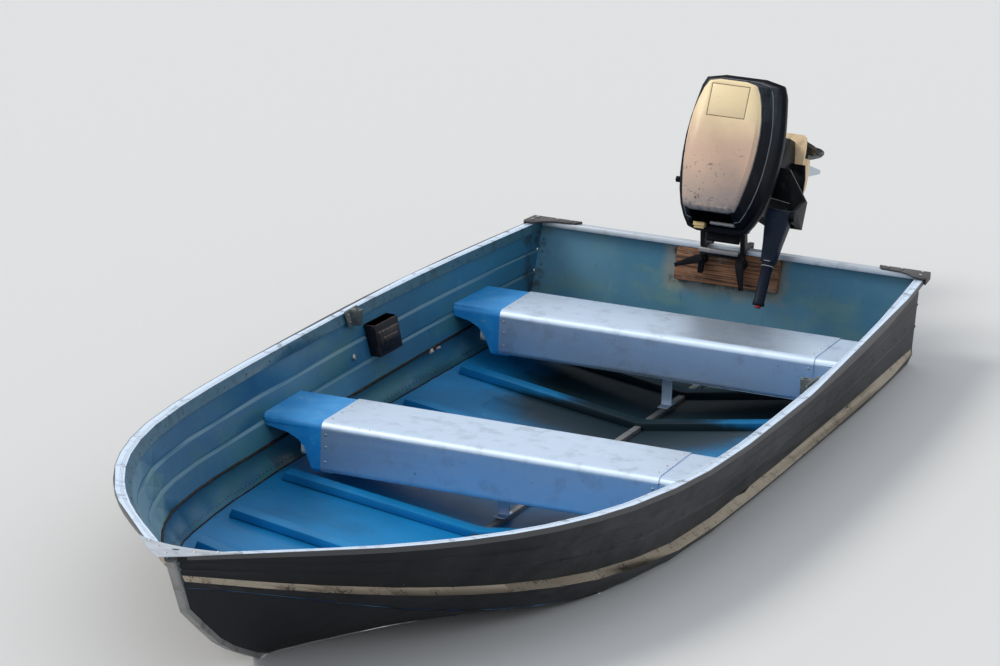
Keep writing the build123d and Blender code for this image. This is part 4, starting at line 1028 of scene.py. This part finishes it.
def bilgeBosses():  # two pale bosses low on the starboard side, and one bolt further forward
    look = fastenings["bosses"]
    spots = [strike("bilge_sheet_starboard", (look["from"], *place), (-1, 0, 0)) for place in look["places"]]
    fasten("bilgeBosses", boltHead(look["radius"], look["sides"]), spots, "greyBar")
    look = fastenings["sideBolt"]
    spot = strike("side_sheet_starboard", (look["from"], *look["place"]), (-1, 0, 0))
    fasten("sideBolt", boltHead(look["radius"], look["sides"]), [spot], "boltSteel")


def lowestSpot(look, side, hand, y):  # last spot met while stepping down a sheet's face
    z = startHeight(look, side, hand, y)
    met = None
    while z is not None and z > lowest:
        spot = strikeSide(look, side, hand, y, z)
        if spot is None:
            break
        met = spot
        z -= look["drop"]
    return met


def layBead(name, look, side, hand):
    spots = [lowestSpot(look, side, hand, y) for y in steps(*look["run"], look["pitch"])]
    places = [found[0] + found[1] * look["inward"] for found in spots if found]
    curve = bpy.data.curves.new(name + "_" + side, "CURVE")
    curve.dimensions = "3D"
    curve.bevel_depth = look["radius"]
    curve.bevel_resolution = 2
    curve.use_fill_caps = True
    line = curve.splines.new("POLY")
    line.points.add(len(places) - 1)
    for point, place in zip(line.points, places):
        point.co = (*place, 1)
    piece = bpy.data.objects.new(name + "_" + side, curve)
    scene.collection.objects.link(piece)
    onlyActive(piece)
    bpy.ops.object.convert(target="MESH")
    addPiece(bpy.context.view_layer.objects.active, "sealantAndShade", "boat")


for side, hand in hands:
    for name, look in beads.items():
        layBead(name, look, side, hand)
for name, look in rows.items():
    rowRivets(name, look)
transomRivets()
benchRivets()
cornerBolts()
bowRivets()
socketBolts()
bilgeBosses()
print("fastenings set")


# Motor trim in millimetres: blocks (lowest and highest corner, eased edge, finish, body) and the tiller's
# collars. On the boat the corners are in the part's frame, elsewhere in the motor's own upright frame
blocks = {
    "clampBar": ((-60, 1737, 247), (60, 1746, 261), 3.0, "greyBar", "boat"),
    "swivelWeb": ((-50, -44, -22), (50, -4, -6), 2.5, "motorSatin", "swivel"),
    "cowlHandle": ((-14, -14, 74), (60, -5, 92), 2.5, "greyBar", "motor"),
    "panTab": ((100, 124, 20), (122, 140, 32), 2.0, "latchGold", "motor"),
}
collars = {
    "end": (165.0, -93.0, 36.0),
    "along": (-0.0349, -0.9994, 0.0),
    "ahead": {"tillerCollarArm": -3.0, "tillerCollarGrip": 11.0},
    "radius": 19.6,
    "width": 2.4,
    "bevel": 2.4 / 4.5,
}


def setTrim(name, piece, around, middle, finishName, body):
    piece.name = name
    piece.data.transform(around @ Matrix.Translation(middle))
    onlyActive(piece)
    bpy.ops.object.shade_smooth_by_angle(angle=edges["pieceSmooth"])
    addPiece(piece, finishName, body)


def trimBlock(name, low, high, ease, finishName, body):
    corners = list(zip(low, high))
    bpy.ops.object.select_all(action="DESELECT")
    bpy.ops.mesh.primitive_cube_add(size=1.0)
    piece = editShape([
        (bpy.ops.transform.resize, {"value": [(b - a) / 1000 for a, b in corners],
                                    "center_override": (0, 0, 0)}),
        (bpy.ops.mesh.bevel, {"offset": ease / 1000, "segments": 3, "affect": "EDGES"}),
    ])
    around = Matrix.Identity(4) if body == "boat" else motorFrame
    middle = Vector([(a + b) / 2000 for a, b in corners])
    setTrim(name, piece, around, middle, finishName, body)


def collarRing(name, ahead):
    along = Vector(collars["along"])
    bpy.ops.object.select_all(action="DESELECT")
    bpy.ops.mesh.primitive_cylinder_add(
        vertices=28, radius=collars["radius"] / 1000, depth=collars["width"] / 1000)
    piece = editShape([
        (bpy.ops.mesh.bevel, {"offset": collars["bevel"] / 1000, "segments": 2, "affect": "EDGES"}),
    ])
    piece.data.transform(along.to_track_quat("Z", "Y").to_matrix().to_4x4())
    setTrim(name, piece, motorFrame, (Vector(collars["end"]) + ahead * along) / 1000, "greyBar", "tiller")


for name, row in blocks.items():
    trimBlock(name, *row)
for name, ahead in collars["ahead"].items():
    collarRing(name, ahead)
print("motor trim set")


# Studio: pale floor at the waterline with the hull's own outline cut out of it, plain soft light
studio = {
    "reach": 30.0,
    "step": 0.01,
    "margin": 0.05,
    "gap": 0.002,
    "floor": (0.80, 0.81, 0.82),
    "floorRough": 0.8,
    "sky": 0.62,
    "skyColour": (0.93, 0.96, 1.0),
    "sun": 1.5,
    "sunAngle": 25,
    "sunColour": (1.0, 0.95, 0.87),
    "sunAim": (0.75, 0.25, -0.75),
}


def breadthAt(y):  # half breadth of the hull's outside at the waterline
    widest = 0.0
    for name in ("bilge_sheet_port", "bottom_sheet_port", "fore_bottom_sheet_port", "keel_and_stem"):
        met = strike(name, (2.0, y, 0.0), (-1.0, 0.0, 0.0))
        if met and met[0].x > widest:
            widest = met[0].x
    return widest


def addFloor():
    outline = []
    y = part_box("keel_and_stem")[0].y - studio["margin"]
    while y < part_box("transom")[1].y + studio["margin"]:
        half = breadthAt(y)
        if half:
            outline.append((half + studio["gap"], y))
        y += studio["step"]
    reach = studio["reach"]
    ring = outline + [(-x, y) for x, y in reversed(outline)]
    corners = [(-reach, -reach), (reach, -reach), (reach, reach), (-reach, reach)]
    mesh = bpy.data.meshes.new("floor")
    points = [(x, y, 0.0) for x, y in ring + corners]
    lines = [(i, (i + 1) % len(ring)) for i in range(len(ring))]
    lines += [(len(ring) + i, len(ring) + (i + 1) % 4) for i in range(4)]
    mesh.from_pydata(points, lines, [])
    floor = bpy.data.objects.new("floor", mesh)
    scene.collection.objects.link(floor)
    onlyActive(floor)
    bpy.ops.object.mode_set(mode="EDIT")
    bpy.ops.mesh.select_all(action="SELECT")
    bpy.ops.mesh.fill()
    bpy.ops.mesh.normals_make_consistent(inside=False)
    bpy.ops.object.mode_set(mode="OBJECT")
    material, place = newFinish("floorPale")
    finish(material, place, studio["floor"], studio["floorRough"])
    floor.data.materials.append(material)


def addLight():
    world = bpy.data.worlds.new("sky")
    scene.world = world
    world.use_nodes = True
    tree = world.node_tree
    back = tree.nodes["Background"]
    rays = tree.nodes.new("ShaderNodeLightPath").outputs
    straight, mirrored, through = [
        Wire(tree, rays[name]) for name in ("Is Camera Ray", "Is Glossy Ray", "Is Transmission Ray")]
    power = ramp(straight + mirrored + through, 0.0, 1.0) * (1.0 - studio["sky"]) + studio["sky"]
    tree.links.new(power.socket, back.inputs["Strength"])
    back.inputs["Color"].default_value = (*studio["skyColour"], 1)
    sun = bpy.data.lights.new("key", "SUN")
    sun.energy = studio["sun"]
    sun.angle = radians(studio["sunAngle"])
    sun.color = studio["sunColour"]
    lamp = bpy.data.objects.new("key", sun)
    scene.collection.objects.link(lamp)
    lamp.rotation_euler = Vector(studio["sunAim"]).to_track_quat("-Z", "Y").to_euler()


addFloor()
addLight()
print("studio set")
